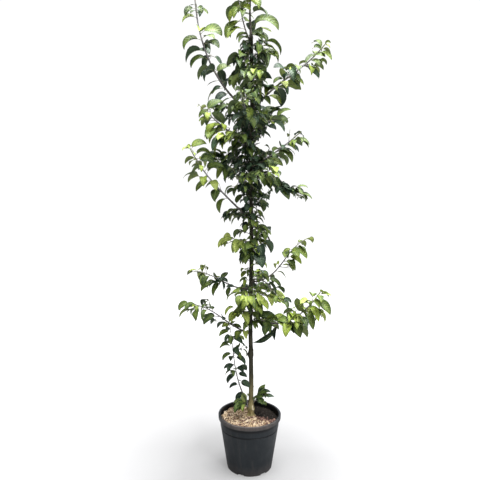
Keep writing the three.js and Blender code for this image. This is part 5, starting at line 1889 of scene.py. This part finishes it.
# %% Build the leaves, one piece for each tint
# Each tint has the names of its piece and slot, and the colours of its blade, of the deep places,
# where shade is painted beside the veins, of the veins and of the underside. The light tints are
# partly painted light, and the dark ones partly painted shade.
TINTS_AND_PAINTED_LIGHT = [
    ("leaves_dark", "leaf_dark",
     (0.056, 0.105, 0.050), (0.008, 0.022, 0.015), (0.16, 0.25, 0.13), (0.10, 0.15, 0.085)),
    ("leaves_green", "leaf_green",
     (0.175, 0.250, 0.044), (0.026, 0.058, 0.020), (0.33, 0.42, 0.15), (0.20, 0.26, 0.13)),
    ("leaves_fresh", "leaf_fresh",
     (0.35, 0.45, 0.058), (0.075, 0.130, 0.026), (0.52, 0.60, 0.22), (0.33, 0.40, 0.17)),
    ("leaves_lime", "leaf_lime",
     (0.58, 0.68, 0.16), (0.22, 0.31, 0.06), (0.68, 0.75, 0.32), (0.48, 0.56, 0.24)),
]
kind = np.clip(np.floor(leaves["tint"] + 0.5), 0, len(TINTS_AND_PAINTED_LIGHT) - 1).astype(int)
for number, (name, slot, *colours) in enumerate(TINTS_AND_PAINTED_LIGHT):
    chosen = {key: value[kind == number] for key, value in leaves.items()}
    print(name, len(chosen["length"]), "leaves")
    piece = build(name, blade_shape(chosen), leaf_material(name, *colours))
    dress(piece, LEAF_NODES)


# %% Build the stalks
STALK_GREEN = (0.34, 0.37, 0.16)
STALK_BROWN = (0.20, 0.17, 0.09)
STALK_WEATHER = (25, 500)


def stalk_green():
    """Pale green stalks with brown patches."""
    material, wiring, shader = new_material("leaf stalk", roughness=0.5, specular=0.4)
    place = wiring.object_place()
    base = weathered(wiring, STALK_GREEN, STALK_BROWN, place, *STALK_WEATHER)
    coat(wiring, shader, base["Colour"])
    return material


stalks = build("leaf_stalks", stalk_shape(leaves), stalk_green())
dress(stalks, LEAF_NODES)

# %% [markdown]
# ## The studio
#
# The plant stands on a pale floor in soft light. A wide lamp high overhead and a little to the
# right gives the leaves their bright upper sides, a smaller one in front on the right opens the
# shade, and a small one behind on the right draws a fine edge of light. The floor glows more
# with distance, so that no horizon shows, and its weaker glow near the pot paints a soft shade
# round it. Only the camera sees the whole glow. All other rays see a quarter of it, or it would
# light the leaves from below.

# %% Floor and backdrop
FLOOR_SIZE = 24.0
FLOOR_GREY = (0.225, 0.225, 0.229, 1)
WHITE = (1, 1, 1, 1)
GLOW_REACH = (0.3, 1.6)
GLOW = (0.33, 1.0)
GLOW_ON_PLANT = 0.25


def floor_finish():
    """A matt grey floor whose glow grows evenly with the distance from the pot, so that the weaker glow
    near the pot paints a soft shade round it.
    """
    material, wiring, shader = new_material("studio floor", roughness=0.8, specular=0.1)
    place = wiring.object_place()
    reach = wiring.add("ShaderNodeVectorMath", {0: place}, operation="LENGTH").outputs["Value"]
    shader.inputs["Base Color"].default_value = FLOOR_GREY
    shader.inputs["Emission Color"].default_value = WHITE
    seen = wiring.add("ShaderNodeLightPath").outputs["Is Camera Ray"]
    glow = wiring.times(
        wiring.ranged(reach, *GLOW_REACH, *GLOW), wiring.ranged(seen, 0, 1, GLOW_ON_PLANT, 1.0)
    )
    wiring.set(shader.inputs["Emission Strength"], glow)
    return material


corners = np.array([[-1, -1, 0], [1, -1, 0], [1, 1, 0], [-1, 1, 0]]) * FLOOR_SIZE / 2
floor = build("floor", Shape(corners, [np.array([[0, 1, 2, 3]])]), floor_finish())


# %% Lamps and surroundings
def lamp(name, place, target, size, power):
    """A square area lamp at a place, turned to face a target."""
    data = bpy.data.lights.new(name, "AREA")
    data.shape = "SQUARE"
    data.size = size
    data.energy = power
    lamp_object = bpy.data.objects.new(name, data)
    lamp_object.location = place
    direction = np.array(target) - np.array(place)
    pitch = math.acos(-direction[2] / np.linalg.norm(direction))
    lamp_object.rotation_euler = (pitch, 0, math.atan2(-direction[0], direction[1]))
    bpy.context.scene.collection.objects.link(lamp_object)


CROWN = (0, 0, 1.3)
SKY_GLOW = (0.22, 1.05)
lamp("overhead", (0.6, 0.0, 6.2), CROWN, 3.2, 980)
lamp("front_right", (2.0, -3.4, 4.2), CROWN, 0.8, 100)
lamp("rim", (2.2, 1.7, 2.6), CROWN, 0.6, 25)

world = bpy.data.worlds.new("studio")
world.use_nodes = True
sky = Wiring(world.node_tree)
background = world.node_tree.nodes["Background"]
seen = sky.add("ShaderNodeLightPath").outputs["Is Camera Ray"]
sky.set(background.inputs["Color"], WHITE)
sky.set(background.inputs["Strength"], sky.ranged(seen, 0, 1, *SKY_GLOW))
bpy.context.scene.world = world
bpy.context.scene.view_settings.view_transform = "Standard"
print("lamps:", [light.name for light in bpy.data.lights])
